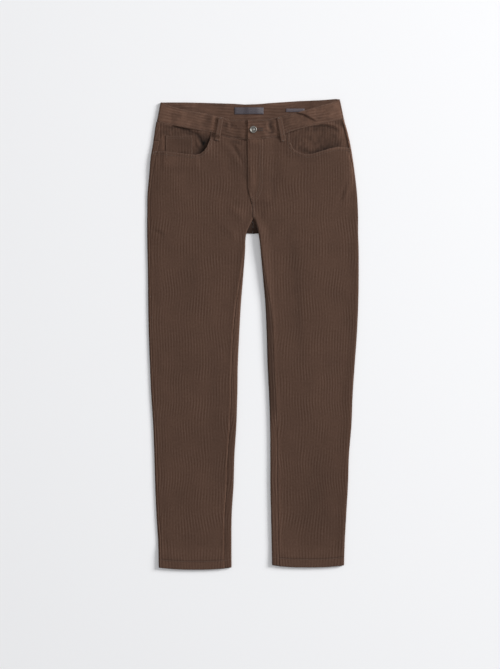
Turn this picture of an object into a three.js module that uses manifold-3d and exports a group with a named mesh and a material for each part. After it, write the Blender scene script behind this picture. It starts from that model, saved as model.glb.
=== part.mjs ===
// Corduroy trousers laid flat with the front up, in millimetres.
// +X is the wearer's left, +Y runs from the hems to the waist, +Z is up from the surface.
import * as THREE from "three";
import { mergeVertices } from "three/addons/utils/BufferGeometryUtils.js";
import Module from "manifold-3d";

const wasm = await Module();
wasm.setup();

// Cloth and seams
const CLOTH = 1.4;            // wall of one layer of corduroy
const PATCH = 1.2;            // wall of a patch pocket
const GAP = 0.3;              // space between layers, and between pieces at a seam
const LAYER = CLOTH + GAP;
const HALF_GAP = GAP / 2;

// Side folds of the legs
const FOLD_REACH = 3.2;       // how far the round of a fold goes sideways
const FOLD_HEIGHT = 5.6;      // height of the folded edge
const FOLD_WIDTH = 26;        // the front sinks to the layers under it within this width
const FOLD_ARC = Math.PI * Math.hypot(FOLD_REACH, FOLD_HEIGHT / 2) / Math.SQRT2;

// Hems
const HEM_CLOTH = 2.7;        // turned-up cloth, two layers
const HEM_LINE = -521;        // top of the turned-up cloth
const HEM_END = -541;         // lowest edge
const HEM_ROUND = 5;          // the middle of a hem lies this much lower than its corners
const HEM_BLEND = -485;       // the leg swells to the thicker hem below this
const HEM_FOLD_RISE = 0.8;    // and its folds stand this much higher there

// Waistband
const BAND_CLOTH = 2.6;
const BAND_RISE = 4.7;        // height of the front's surface where it is sewn to the band
const BAND_FOLD_REACH = 2.9;
const BAND_STRAIGHT = 100;    // half width of the band's straight middle part
const LOOP_CLOTH = 1.6;
const BACK_LOOP_CLOTH = 1.0;
const LOOP_WIDTH = 11.5;
const BACK_LOOP_PLACES = [-150, 0, 150];
const BACK_LOOP_LIFT = BACK_LOOP_CLOTH + GAP;
const LABEL_THICK = 0.6;

// Fly, from the middle line
const FLY_EDGE = -12.4;
const UNDERLAP_END = 14;
const BAND_UNDER_END = 24;
const ZIP = { from: 1, to: 13, top: 438, bottom: 345, thick: 0.8 };
const FLY_LIFT = GAP + ZIP.thick + GAP + CLOTH;

// Button and its hole
const BUTTON = { x: 0.9, y: 470.1, radius: 8, shank: 1.6, cap: 2.2 };
const BUTTONHOLE = { end: 23.2, eye: 2.1, slit: 1.2 };

// Pockets
const FACING = { inner: 72, lowest: 390 };
const COIN = { inner: 139.4, outer: 200, top: 457, bottom: 397 };
const BACK_POCKET = { inner: 56, outer: 190, top: 386, side: 262, point: 238 };

// A short table: one object for each row, with the names of its columns.
const table = (names, rows) =>
  rows.map((row) => Object.fromEntries(row.map((value, k) => [names[k], value])));

// Outlines: where the folds lie, and how far round each fold its seam is sewn.
const LEGS = {
  right: {
    side: -1,
    hemShift: 0,
    outline: table(["y", "outer", "inner"], [
      [-541, 216.6, 49.0], [-484, 217.6, 49.3], [-415, 221.8, 48.7], [-346, 224.7, 44.4],
      [-277, 226.8, 42.3], [-208, 229.5, 37.9], [-139, 233.9, 35.7], [-70, 236.9, 34.5],
      [-1, 239.4, 31.4], [68, 240.8, 27.6], [137, 241.4, 22.0], [194, 242.6, 17.6],
      [231, 243.2, 15.4], [250, 243.2, 7.5], [268, 243.2, -1.6], [275, 242.9, -1.3],
      [321, 242.5, 0], [367, 238.4, 0], [406, 235.2, 0], [438, 229.8, 0], [470, 225.3, 0],
      [490, 221.9, 0],
    ]),
    outseam: table(["y", "round"], [
      [-541, 3.5], [350, 3.5], [400, 8], [440, 11], [470, 8], [490, 4],
    ]),
    frontEdge: table(["y", "x"], [
      [295, 2.65], [309, 4.55], [339, 4.55], [350, -UNDERLAP_END], [480, -UNDERLAP_END],
    ]),
  },
  left: {
    side: 1,
    hemShift: 4.7,
    outline: table(["y", "outer", "inner"], [
      [-541, 209.3, 44.1], [-484, 210.9, 43.1], [-415, 214.6, 41.6], [-346, 218.6, 40.2],
      [-277, 220.9, 40.1], [-208, 226.6, 39.3], [-139, 229.4, 37.1], [-70, 234.0, 33.6],
      [-1, 239.0, 31.7], [68, 242.2, 28.6], [137, 243.2, 22.6], [194, 243.1, 17.2],
      [231, 242.0, 12.8], [250, 241.9, 8.5], [268, 241.9, 2.4], [275, 241.8, 1],
      [321, 239.6, 0], [367, 234.5, 0], [406, 229.2, 0], [438, 223.7, 0], [470, 216.3, 0],
      [490, 210.3, 0],
    ]),
    outseam: table(["y", "round"], [
      [-541, -1.5], [350, -1.5], [400, 1.5], [490, 1.5],
    ]),
    frontEdge: table(["y", "x"], [
      [295, -2.35], [309, -4.25], [323, -9], [339, FLY_EDGE], [480, FLY_EDGE],
    ]),
  },
};

const { right, left } = LEGS;

// Where the legs part: the back ends between them, and the two front panels leave each other.
const CROTCH = 233;
const PARTED = 262;
const PARTING = 295;

// The inseam starts low on the inner fold at the crotch and comes up onto the front of the leg.
const INSEAM = table(["y", "round"], [
  [-541, 22], [-335, 22], [-150, 20.5], [30, 19.5], [102, 14], [166, 8.5], [205, 5], [232, 3.5],
  [268, 3.5],
]);

// Edges of the waistband, across the garment.
const BAND = {
  frontTop: table(["x", "y"], [
    [-212.5, 533], [-190.7, 524.2], [-151.6, 514], [-110, 508.1], [-78, 500], [-52, 494.3],
    [-13.6, 493.1], [27.8, 493.1], [62.3, 501], [101, 509.2], [138, 520.7], [177, 531],
    [200, 540.2],
  ]),
  frontBottom: table(["x", "y"], [
    [-221, 489], [-202, 484], [-144.7, 472.4], [-91.8, 463.2], [-71, 455.2], [-41, 448.3],
    [-13.6, 447.1], [20.9, 448.3], [62, 454], [85, 464.4], [108, 472.4], [154, 482.8],
    [196, 492], [209.5, 494.5],
  ]),
  backTop: table(["x", "y"], [
    [-212.5, 533], [-181, 533.4], [-121.7, 532.6], [-44, 530.3], [-18, 528.4], [10, 529.2],
    [39, 531.9], [108, 536.5], [154, 538.2], [190, 541.2], [200, 540.2],
  ]),
  backBottom: table(["x", "y"], [[-221, 489], [-120, 487], [0, 484], [108, 490], [209.5, 494.5]]),
};
const YOKE_SEAM = table(["x", "y"], [[-240, 446], [0, 424], [240, 446]]);

// Mouths of the front pockets, from the side seam to the waistband.
const MOUTH_RIGHT = table(["x", "y"], [
  [-231, 420.7], [-202, 420.7], [-156, 415], [-131, 412.6], [-121.7, 414.9], [-112.5, 421.8],
  [-105.6, 431], [-101, 442.5], [-97.5, 454], [-96.4, 461], [-96, 470],
]);
const MOUTH_LEFT = table(["x", "y"], [
  [85, 470], [85.3, 463.2], [84.2, 454], [86.5, 440.2], [94.5, 424.1], [108.3, 417.2],
  [122, 413.8], [136, 414.9], [154.3, 420.7], [177.3, 427.6], [195.7, 431], [212, 429.9],
  [226, 428.2],
]);

// Rows of points up the legs, closer where the shape turns, and columns across them.
const HIP_ROWS = [470, 455, 440, 425, 410];
const FLY_ROWS = [390, 370, 350, 339, 323, 309, 295, 282, 268, 250, 234];
const LEG_ROWS = [232, 218, 205, 192, 179, 166, 138, 110, 30, -70, -170, -270, -370, -450];
const HEM_ROWS = [-485, -505, -519, -523, HEM_END];
const ROWS = [...HIP_ROWS, ...FLY_ROWS, ...LEG_ROWS, ...HEM_ROWS];
const YOKE_PARTS = [0, 0.33, 0.66, 1];
const ACROSS = [0.05, 0.12, 0.22, 0.33, 0.42, 0.5, 0.58, 0.68, 0.78, 0.88, 0.94];
const EDGE_STEPS = [0, 2, 4.5, 8];
const FOLD_PARTS = 5;

const clamp = (value, low, high) => Math.min(Math.max(value, low), high);
const mix = THREE.MathUtils.lerp;
const smooth = (from, to, value) => {
  const part = clamp((value - from) / (to - from), 0, 1);
  return part * part * (3 - 2 * part);
};
const plateau = (value, low, high, fade) =>
  smooth(low - fade, low, value) * (1 - smooth(high, high + fade, value));

// Smooth curve through a table's rows, held level past its ends.
function along(rows, key, at, name) {
  const last = rows.length - 1;
  if (at <= rows[0][key]) return rows[0][name];
  if (at >= rows[last][key]) return rows[last][name];
  const k = rows.findIndex((row) => row[key] > at) - 1;
  const slope = (m) => {
    const low = Math.max(m - 1, 0);
    const high = Math.min(m + 1, last);
    return (rows[high][name] - rows[low][name]) / (rows[high][key] - rows[low][key]);
  };
  const span = rows[k + 1][key] - rows[k][key];
  const t = (at - rows[k][key]) / span;
  const rise = rows[k + 1][name] - rows[k][name];
  const bend = t * (1 - t);
  const ease = t * t * (3 - 2 * t);
  return rows[k][name] + rise * ease + bend * span * ((1 - t) * slope(k) - t * slope(k + 1));
}

// Straight lines through a table's rows.
function straight(rows, key, at, name) {
  const above = rows.findIndex((row) => row[key] > at);
  if (above === 0) return rows[0][name];
  if (above < 0) return rows.at(-1)[name];
  const [a, b] = [rows[above - 1], rows[above]];
  return mix(a[name], b[name], (at - a[key]) / (b[key] - a[key]));
}

const outerFold = (leg, y) => along(leg.outline, "y", y, "outer");
const innerFold = (leg, y) => along(leg.outline, "y", y, "inner");

// Heights of the layers. x is across the garment and d is its distance from the middle line.

// The back rises over its patch pockets. What lies on the back rises a little sooner.
function backLift(d, y, early = 0) {
  const across = plateau(d, 52.5 - early, 198 + early, 22);
  const up = plateau(y, 232 - early, 390, 20);
  return (PATCH + GAP) * across * up;
}

function facingLift(d, y) {
  return LAYER * smooth(50, FACING.inner, d) * smooth(FACING.lowest - 21, FACING.lowest - 1, y);
}

// Long soft troughs and ridges across the legs, and wrinkles beside the fly.
const CREASES = table(["x", "y", "turn", "length", "width", "rise"], [
  [-46, 408, 122, 95, 16, 0.7],
  [-62, 430, 130, 60, 14, 0.5],
  [190, 340, 60, 110, 22, 0.8],
  [-190, 330, 120, 90, 26, 0.6],
  [-130, 170, 160, 150, 40, 0.5],
  [120, 190, 18, 160, 42, 0.6],
  [-135, -120, 100, 260, 34, 0.6],
  [140, -90, 84, 240, 36, 0.6],
  [-120, -330, 95, 220, 30, 0.5],
  [118, -360, 88, 220, 32, 0.5],
]);

function creaseHeight(x, y) {
  let rise = 0;
  for (const crease of CREASES) {
    const turn = THREE.MathUtils.degToRad(crease.turn);
    const [dx, dy] = [x - crease.x, y - crease.y];
    const lengthwise = (dx * Math.cos(turn) + dy * Math.sin(turn)) / (crease.length / 2);
    const crosswise = (dy * Math.cos(turn) - dx * Math.sin(turn)) / crease.width;
    const fade = Math.max(1 - lengthwise * lengthwise, 0);
    rise += crease.rise * fade * fade * Math.exp(-crosswise * crosswise);
  }
  return rise;
}

// Outer surface of the front without what lifts only one panel.
function surfaceHeight(leg, d, y) {
  const x = leg.side * d;
  const bandLine = straight(BAND.frontBottom, "x", x, "y");
  let height = CLOTH + LAYER + backLift(d, y, 12) + facingLift(d, y);
  height += (2 * HEM_CLOTH + 2 * GAP - CLOTH - LAYER) * (1 - smooth(HEM_LINE, HEM_BLEND, y));
  height += Math.max(BAND_RISE - height, 0) * smooth(26, 6, bandLine - y);
  const outer = outerFold(leg, y) - FOLD_REACH - d;
  const inner = d - innerFold(leg, y) - FOLD_REACH;
  const parted = 1 - smooth(PARTED, PARTING, y);
  const puff = Math.max(1 - smooth(0, FOLD_WIDTH, outer), parted * (1 - smooth(0, FOLD_WIDTH, inner)));
  height += creaseHeight(x, y) * (1 - puff);
  return height + Math.max(foldHeight(y) - height, 0) * puff;
}

const foldHeight = (y) => FOLD_HEIGHT + HEM_FOLD_RISE * (1 - smooth(HEM_LINE, HEM_BLEND, y));
const wallAt = (y) => mix(HEM_CLOTH, CLOTH, smooth(HEM_LINE - 2, HEM_LINE + 2, y));

// The right pocket's mouth stands open a little at its curve.
const GAPE = { d: 112, y: 428, wide: 16, high: 20, rise: 2.4 };

// Extra lift of the right front over the coin pocket and at the open mouth
function rightFrontLift(d, y) {
  const coin = (PATCH + GAP) * plateau(d, 131, 202, 12) * plateau(y, 388, 430, 18);
  const { d: middle, y: level, wide, high, rise } = GAPE;
  const gape = rise * Math.exp(-(((d - middle) / wide) ** 2) - ((y - level) / high) ** 2);
  return Math.max(coin, gape);
}

// Extra lift of the left front over the underlap and the zip.
function leftFrontLift(d, y) {
  const edge = mix(LAYER, FLY_LIFT, smooth(FLY_EDGE, -4.5, d));
  const full = smooth(326, 345, y);
  const lift = mix(LAYER, edge, full) * (1 - smooth(27, 50, d));
  return lift * smooth(295, 309, y) + 1.2 * plateau(d, 84, 110, 14) * plateau(y, 420, 450, 14);
}

// A point of the leg's skin, and the one under it on the cloth's inner face. A place is on the
// top or bottom at distance d from the middle, or on a fold at an arc length from its bottom.
function skin(leg, y, place, lift = () => 0) {
  const wall = wallAt(y);
  const point = (d, z) => new THREE.Vector3(leg.side * d, y, z);
  if (place.face === "bottom") {
    const z = backLift(place.d, y);
    return { outer: point(place.d, z), inner: point(place.d, z + wall) };
  }
  const isOuter = place.face === "outer";
  const line = isOuter ? outerFold(leg, y) : innerFold(leg, y);
  const inward = isOuter ? -1 : 1;
  if (place.face === "top" || place.arc >= FOLD_ARC) {
    const d = place.face === "top" ? place.d : line + inward * (FOLD_REACH + place.arc - FOLD_ARC);
    const z = surfaceHeight(leg, d, y) + lift(d, y);
    return { outer: point(d, z), inner: point(d, z - wall) };
  }
  const half = surfaceHeight(leg, line + inward * FOLD_REACH, y) / 2;
  const angle = Math.PI * (place.arc / FOLD_ARC - 0.5);
  const bent = (reach, rise) =>
    point(line + inward * (FOLD_REACH - reach * Math.cos(angle)), half + rise * Math.sin(angle));
  return { outer: bent(FOLD_REACH, half), inner: bent(FOLD_REACH - wall, half - wall) };
}

// Height up the garment of a row at distance d: level on the legs, rounded at the hem, and
// sloped along the waistband or the yoke seam above.
function rowHeight(leg, row, d, seam) {
  const y = row;
  const middle = (outerFold(leg, y) + innerFold(leg, y)) / 2;
  const half = (outerFold(leg, y) - innerFold(leg, y)) / 2;
  const corner = clamp(Math.abs(d - middle) / half, 0, 1) ** 2.5;
  const hem = 1 - smooth(HEM_END, HEM_END + 90, y);
  const level = y + hem * (leg.hemShift + HEM_ROUND * corner);
  if (!seam) return level;
  const top = HIP_ROWS[0];
  const slope = smooth(HIP_ROWS.at(-1) - 12, top, y);
  return level + slope * (straight(seam, "x", leg.side * d, "y") - GAP - top);
}

// Closed wall between two grids of points, with the outer one facing out.
function wall(outer, inner) {
  const rows = outer.length;
  const columns = outer[0].length;
  const points = [];
  const faces = [];
  const index = (layer, r, c) => (layer * rows + r) * columns + c;
  for (const layer of [outer, inner]) {
    for (const row of layer) {
      for (const p of row) points.push(p.x, p.y, p.z);
    }
  }
  const quad = (a, b, c, d) => faces.push(a, b, c, a, c, d);
  for (let r = 0; r + 1 < rows; r += 1) {
    for (let c = 0; c + 1 < columns; c += 1) {
      quad(index(0, r, c), index(0, r, c + 1), index(0, r + 1, c + 1), index(0, r + 1, c));
      quad(index(1, r, c), index(1, r + 1, c), index(1, r + 1, c + 1), index(1, r, c + 1));
    }
    quad(index(0, r, 0), index(0, r + 1, 0), index(1, r + 1, 0), index(1, r, 0));
    const e = columns - 1;
    quad(index(0, r + 1, e), index(0, r, e), index(1, r, e), index(1, r + 1, e));
  }
  for (let c = 0; c + 1 < columns; c += 1) {
    quad(index(0, 0, c + 1), index(0, 0, c), index(1, 0, c), index(1, 0, c + 1));
    const e = rows - 1;
    quad(index(0, e, c), index(0, e, c + 1), index(1, e, c + 1), index(1, e, c));
  }
  return facingOut(points, faces);
}

function facingOut(points, faces) {
  let volume = 0;
  const corner = (k) => new THREE.Vector3().fromArray(points, faces[k] * 3);
  for (let k = 0; k < faces.length; k += 3) {
    volume += corner(k).dot(corner(k + 1).cross(corner(k + 2)));
  }
  if (volume < 0) faces.reverse();
  const geometry = new THREE.BufferGeometry();
  geometry.setAttribute("position", new THREE.Float32BufferAttribute(points, 3));
  geometry.setIndex(faces);
  return geometry;
}

// Joins and cuts
function solid(geometry) {
  const bare = geometry.clone();
  bare.deleteAttribute("normal");
  bare.deleteAttribute("uv");
  const merged = mergeVertices(bare, 1e-5);
  const mesh = { numProp: 3, vertProperties: merged.attributes.position.array };
  return new wasm.Manifold(new wasm.Mesh({ ...mesh, triVerts: new Uint32Array(merged.index.array) }));
}

function fromSolid(body) {
  const mesh = body.getMesh();
  const geometry = new THREE.BufferGeometry();
  geometry.setAttribute("position", new THREE.Float32BufferAttribute(mesh.vertProperties, 3));
  geometry.setIndex(Array.from(mesh.triVerts));
  return geometry;
}

// Upright prism on an outline of [x, y] corners, between two heights.
function prism(corners, low, high) {
  const shape = new THREE.Shape(corners.map(([x, y]) => new THREE.Vector2(x, y)));
  const depth = high - low;
  return new THREE.ExtrudeGeometry(shape, { depth, bevelEnabled: false }).translate(0, 0, low);
}

// Places across a front panel, from its inner edge to the side seam.
function frontPlaces(leg, y) {
  const open = y < PARTING;
  const reach = outerFold(leg, y) - FOLD_REACH;
  const edgeX = straight(leg.frontEdge, "y", y, "x");
  const inseam = along(INSEAM, "y", y, "round");
  const clear = HALF_GAP + HALF_GAP * smooth(160, 170, y) + HALF_GAP * smooth(218, 232, y);
  const start = open ? mix(inseam, FOLD_ARC, smooth(270, PARTING, y)) + clear : FOLD_ARC;
  const outseam = FOLD_ARC + along(leg.outseam, "y", y, "round") + HALF_GAP;
  const places = EDGE_STEPS.map((step) =>
    open ? { face: "inner", arc: start + step } : { face: "top", d: edgeX + step });
  const innerLine = open ? innerFold(leg, y) + FOLD_REACH : 0;
  const low = open ? innerLine + Math.max(start - FOLD_ARC, 0) + 11 : edgeX + 11;
  const high = reach - Math.max(outseam - FOLD_ARC, 0) - 7;
  for (const part of ACROSS) {
    const d = mix(Math.max(innerLine, 0), reach, part);
    const squeeze = part < 0.5 ? Math.max(d, low + part * 8) : Math.min(d, high - (1 - part) * 8);
    places.push({ face: "top", d: squeeze });
  }
  for (const step of [4, 1.8, 0]) places.push({ face: "outer", arc: outseam + step });
  return places;
}

// A row's points lie on the skin at their own height up the garment.
function skinRow(leg, row, placesAt, seam, lift) {
  return placesAt(row).map((place, k) => {
    const d = placeDistance(leg, row, place);
    const y = rowHeight(leg, row, d, seam);
    return skin(leg, y, placesAt(y)[k], lift);
  });
}

function placeDistance(leg, y, place) {
  if (place.d !== undefined) return place.d;
  const isOuter = place.face === "outer";
  const line = isOuter ? outerFold(leg, y) : innerFold(leg, y);
  const inward = isOuter ? -1 : 1;
  return line + inward * Math.max(FOLD_REACH + place.arc - FOLD_ARC, 0);
}

const frontGrid = (leg, lift, rows = ROWS) =>
  rows.map((row) => skinRow(leg, row, (y) => frontPlaces(leg, y), BAND.frontBottom, lift));

const gridWall = (grid) =>
  wall(grid.map((row) => row.map((p) => p.outer)), grid.map((row) => row.map((p) => p.inner)));

// Places round a back panel, from the side seam under the leg to the inseam. Above the crotch
// the panel ends at the seat seam on the middle line.
function backPlaces(leg, y) {
  const web = y > CROTCH;
  const outseam = FOLD_ARC + along(leg.outseam, "y", y, "round") - HALF_GAP;
  const inseam = along(INSEAM, "y", y, "round") - HALF_GAP;
  const reach = outerFold(leg, y) - FOLD_REACH;
  const innerLine = web ? 0 : innerFold(leg, y) + FOLD_REACH;
  const round = (end) => {
    const top = Math.min(end, FOLD_ARC);
    const arcs = [end];
    for (let k = 0; k <= FOLD_PARTS; k += 1) {
      const least = end > FOLD_ARC ? 0 : 1;
      arcs.push(top * (FOLD_PARTS + least - k - least) / (FOLD_PARTS + least));
    }
    return arcs;
  };
  const places = round(outseam).map((arc) => ({ face: "outer", arc }));
  const flat = ACROSS.map((part) => ({ face: "bottom", d: mix(innerLine, reach, part) }));
  places.push(...flat.reverse());
  const last = flat.at(-1).d;
  round(inseam).reverse().forEach((arc, k, all) => {
    const part = (k + 1) / all.length;
    places.push(web ? { face: "bottom", d: mix(last, HALF_GAP, part) } : { face: "inner", arc });
  });
  return places;
}

function backLeg(leg) {
  const rows = ROWS.filter((row) => row <= 390 && row !== 339 && row !== 309);
  const places = (y) => backPlaces(leg, y);
  const grid = rows.map((row) => skinRow(leg, row, places, null));
  const top = places(HIP_ROWS.at(-1)).map((_, k) => seamPoint(leg, places, k, yokeLine));
  const near = places(HIP_ROWS.at(-1)).map((_, k) => skin(leg, 410, places(410)[k]));
  return gridWall([top, near, ...grid]);
}

const yokeLine = (x) => straight(YOKE_SEAM, "x", x, "y") - HALF_GAP;

// Point of a back piece's column where it meets a seam line.
function seamPoint(leg, placesAt, k, line) {
  let y = 450;
  for (let pass = 0; pass < 6; pass += 1) {
    const place = placesAt(y)[k];
    const x = leg.side * placeDistance(leg, y, place);
    const onTop = place.face === "outer" && place.arc > FOLD_ARC / 2;
    y = line(x, onTop);
  }
  return skin(leg, y, placesAt(y)[k]);
}

function backYoke(leg) {
  const places = (y) => backPlaces(leg, y);
  const bandLine = (x, onTop) =>
    straight(onTop ? BAND.frontBottom : BAND.backBottom, "x", x, "y") - GAP;
  const between = (part) => (x, onTop) => mix(bandLine(x, onTop), yokeLine(x) + GAP, part);
  const columns = places(450).map((_, k) => k);
  return gridWall(YOKE_PARTS.map((part) =>
    columns.map((k) => seamPoint(leg, places, k, between(part)))));
}

// Pocket pieces made from the front's own points, moved down under it.
function frontLayer(leg, depth, thick, fromColumn, extra = []) {
  const rows = ROWS.filter((row) => row >= FACING.lowest);
  const grid = rows.map((row) => {
    const placesAt = (y) => [
      ...frontPlaces(leg, y).slice(fromColumn),
      ...extra.map((step) => ({ face: "outer", arc: frontPlaces(leg, y).at(-1).arc - step })),
    ];
    return skinRow(leg, row, placesAt, BAND.frontBottom);
  });
  const moved = (fall) => grid.map((row) =>
    row.map((p) => new THREE.Vector3(p.outer.x, p.outer.y, p.outer.z - fall)));
  return wall(moved(depth), moved(depth + thick));
}

const FACING_COLUMN = EDGE_STEPS.length + ACROSS.indexOf(0.33);
const pocketFacing = (leg) => frontLayer(leg, LAYER, CLOTH, FACING_COLUMN, [2.2]);

function coinPocket() {
  const sheet = frontLayer(LEGS.right, LAYER - GAP - PATCH, PATCH, FACING_COLUMN);
  const corners = [
    [-COIN.outer, COIN.bottom], [-COIN.inner, COIN.bottom],
    [-COIN.inner, COIN.top], [-COIN.outer, COIN.top],
  ];
  return fromSolid(solid(sheet).intersect(solid(prism(corners, -1, 20))));
}

function frontPanel(leg, lift, mouth) {
  const panel = solid(gridWall(frontGrid(leg, lift)));
  const outline = mouth.map(({ x, y }) => [x, y]);
  const [start, end] = [outline[0], outline.at(-1)];
  const beyond = leg.side < 0
    ? [[end[0], 520], [-260, 520], [-260, start[1]]]
    : [[260, end[1]], [260, 520], [start[0], 520]];
  return fromSolid(panel.subtract(solid(prism([...outline, ...beyond], -5, 30))));
}

// Patch pocket on the seat, lying on the surface under the lifted back panel.
function backPocket(leg) {
  const { inner, outer, top, side, point } = BACK_POCKET;
  const narrow = 5;
  const corners = [
    [inner, top], [inner + narrow, side], [(inner + outer) / 2, point],
    [outer - narrow, side], [outer, top],
  ].map(([d, y]) => [leg.side * d, y]);
  return prism(corners, 0, PATCH);
}

// Heights of the waistband's layers, by place across
const bandBackLift = (x) => BACK_LOOP_PLACES.reduce(
  (lift, place) => lift + BACK_LOOP_LIFT * plateau(x, place - 9, place + 9, 13), 0);

function bandFrontLift(x) {
  const overLoops = BACK_LOOP_PLACES.map((place) => plateau(x, place - 23, place + 23, 18));
  const overLabel = (LABEL_THICK + GAP) * plateau(x, 76, 126, 14);
  return Math.max(...overLoops.map((part) => BACK_LOOP_LIFT * part), overLabel);
}

const bandUnderTop = (x) => 2 * BAND_CLOTH + GAP + bandFrontLift(x);
const bandOverTop = (x) => bandUnderTop(x) + (BAND_CLOTH + GAP) * (1 - smooth(29, 46, x));

// Top edge of a front panel, which the band's lower edge follows point by point.
const frontTopEdge = (leg) => frontGrid(leg, undefined, [HIP_ROWS[0]])[0]
  .map(({ outer }) => ({ x: outer.x, y: outer.y + GAP }))
  .sort((a, b) => a.x - b.x);

// The band narrows towards its top edge at the sides.
function bandPlace(x, part) {
  const side = x < 0 ? 0 : -1;
  const low = Math.abs(BAND.frontBottom.at(side).x);
  const high = Math.abs(BAND.frontTop.at(side).x);
  const beyond = Math.max(Math.abs(x) - BAND_STRAIGHT, 0) / (low - BAND_STRAIGHT);
  return x - Math.sign(x) * beyond * (low - high) * part;
}

// One strip from the right end, which lies under, round both sides to the left end on top.
function bandLoop() {
  const [rightEdge, leftEdge] = [frontTopEdge(right), frontTopEdge(left)];
  const underEnd = straight(BAND.frontBottom, "x", BAND_UNDER_END, "y") + GAP;
  rightEdge.push({ x: BAND_UNDER_END, y: underEnd });
  const back = [
    -200, -172, -159, -141, -128, -90, -50, -22, -9, 9, 22, 50, 90, 128, 141, 159, 172, 186, 199,
  ];
  const rightFront = rightEdge.map(({ x }) => x).reverse();
  const leftFront = [...leftEdge.map(({ x }) => x), 34, 40, 46].sort((a, b) => b - a);
  const turns = [0, 1, 2, 3, 4, 5, 6];
  const stations = [
    ...rightFront.map((x) => ({ part: "front", x, top: bandUnderTop, edge: rightEdge })),
    ...turns.map((k) => ({ part: "fold", side: -1, angle: Math.PI / 2 - (k * Math.PI) / 6 })),
    ...back.map((x) => ({ part: "back", x })),
    ...turns.map((k) => ({ part: "fold", side: 1, angle: (k * Math.PI) / 6 - Math.PI / 2 })),
    ...leftFront.map((x) => ({ part: "front", x, top: bandOverTop, edge: leftEdge })),
  ];
  const parts = [1, 0.5, 0];
  const at = (part, station) => {
    if (station.part === "fold") return bandFoldPoint(part, station);
    const isFront = station.part === "front";
    const [low, high] = isFront ? [station.edge, BAND.frontTop] : [BAND.backBottom, BAND.backTop];
    const x = bandPlace(station.x, part);
    const y = mix(straight(low, "x", station.x, "y"), straight(high, "x", x, "y"), part);
    const z = isFront ? station.top(x) : bandBackLift(x);
    const inward = isFront ? -BAND_CLOTH : BAND_CLOTH;
    return { outer: new THREE.Vector3(x, y, z), inner: new THREE.Vector3(x, y, z + inward) };
  };
  return gridWall(parts.map((part) => stations.map((station) => at(part, station))));
}

function bandFoldPoint(part, { side, angle }) {
  const end = side < 0 ? 0 : -1;
  const low = BAND.frontBottom.at(end);
  const high = BAND.frontTop.at(end);
  const edge = mix(low.x, high.x, part);
  const y = mix(low.y, high.y, part);
  const half = BAND_CLOTH + HALF_GAP;
  const bent = (reach, rise) => new THREE.Vector3(
    edge - side * (BAND_FOLD_REACH - reach * Math.cos(angle)), y, half + rise * Math.sin(angle));
  return { outer: bent(BAND_FOLD_REACH, half), inner: bent(BAND_FOLD_REACH - BAND_CLOTH, HALF_GAP) };
}

function waistband() {
  const { x, y } = BUTTON;
  const { end, eye, slit } = BUTTONHOLE;
  const low = bandUnderTop(x) + HALF_GAP;
  const round = new THREE.CylinderGeometry(eye, eye, 8, 16);
  round.rotateX(Math.PI / 2).translate(x, y, low + 4);
  const [below, above] = [y - slit / 2, y + slit / 2];
  const opening = prism([[x, below], [end, below], [end, above], [x, above]], low, low + 8);
  return fromSolid(solid(bandLoop()).subtract(solid(round).add(solid(opening))));
}

// Belt loop lying over the band from its top edge to just below its lower seam.
function frontLoop([topX, topY], [lowX, lowY]) {
  const sideways = new THREE.Vector3(topY - lowY, lowX - topX, 0).setLength(LOOP_WIDTH / 2);
  const stations = [0, 0.12, 0.5, 0.76, 0.84, 1].map((part) => {
    const x = mix(topX, lowX, part);
    const under = [-1, 0, 1].map((side) => bandOverTop(x + (side * LOOP_WIDTH) / 2));
    const onBand = Math.max(...under) + GAP;
    const base = mix(onBand, BAND_RISE + GAP + 0.4, smooth(0.76, 0.9, part));
    return new THREE.Vector3(x, mix(topY, lowY, part), base);
  });
  const edge = (rise) => stations.map((p) => [-1, 0, 1].map((side) =>
    p.clone().addScaledVector(sideways, side).setZ(p.z + rise)));
  return wall(edge(LOOP_CLOTH), edge(0));
}

// Belt loop on the back, between the surface and the lifted band.
function backLoop(x) {
  const margin = 1.5;
  const low = straight(BAND.backBottom, "x", x, "y") + margin;
  const high = straight(BAND.backTop, "x", x, "y") - margin;
  const [from, to] = [x - LOOP_WIDTH / 2, x + LOOP_WIDTH / 2];
  return prism([[from, low], [to, low], [to, high], [from, high]], 0, BACK_LOOP_CLOTH);
}

// Shank through the buttonhole and a low domed cap, turned about the Z axis.
function button() {
  const foot = bandUnderTop(BUTTON.x) + GAP;
  const seat = bandOverTop(BUTTON.x) + GAP;
  const { radius, shank, cap } = BUTTON;
  const profile = [
    [0, foot], [shank, foot], [shank, seat], [radius - 0.5, seat], [radius, seat + 0.5],
    [radius - 0.3, seat + cap - 0.8], [radius - 1.4, seat + cap - 0.1], [radius - 2.2, seat + cap],
    [radius - 3, seat + cap - 0.4], [0, seat + cap - 0.5],
  ].map(([r, z]) => new THREE.Vector2(r, z));
  return new THREE.LatheGeometry(profile, 24).rotateX(Math.PI / 2).translate(BUTTON.x, BUTTON.y, 0);
}

// Closed zip lying on the underlap behind the fly
function flyZip() {
  const heights = [ZIP.top, 430, 420, 405, 390, 370, ZIP.bottom];
  const level = (rise) => heights.map((y) => [ZIP.from, ZIP.to].map((x) =>
    new THREE.Vector3(x, y, surfaceHeight(LEGS.left, x, y) + GAP + rise)));
  return wall(level(ZIP.thick), level(0));
}

// Bare label on the inside of the back of the band
function label({ columns, top, bottom }) {
  const level = (rise) => [top, bottom].map((y) => columns.map((x) =>
    new THREE.Vector3(x, y, bandBackLift(x) + BAND_CLOTH + GAP + rise)));
  return wall(level(LABEL_THICK), level(0));
}

const MAIN_LABEL = { columns: [-42.3, -22, -9, 9, 22, 24.4], top: 521.9, bottom: 505.8 };
const SIDE_LABEL = { columns: [75.7, 90, 104, 118.6], top: 519.2, bottom: 511 };

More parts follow.
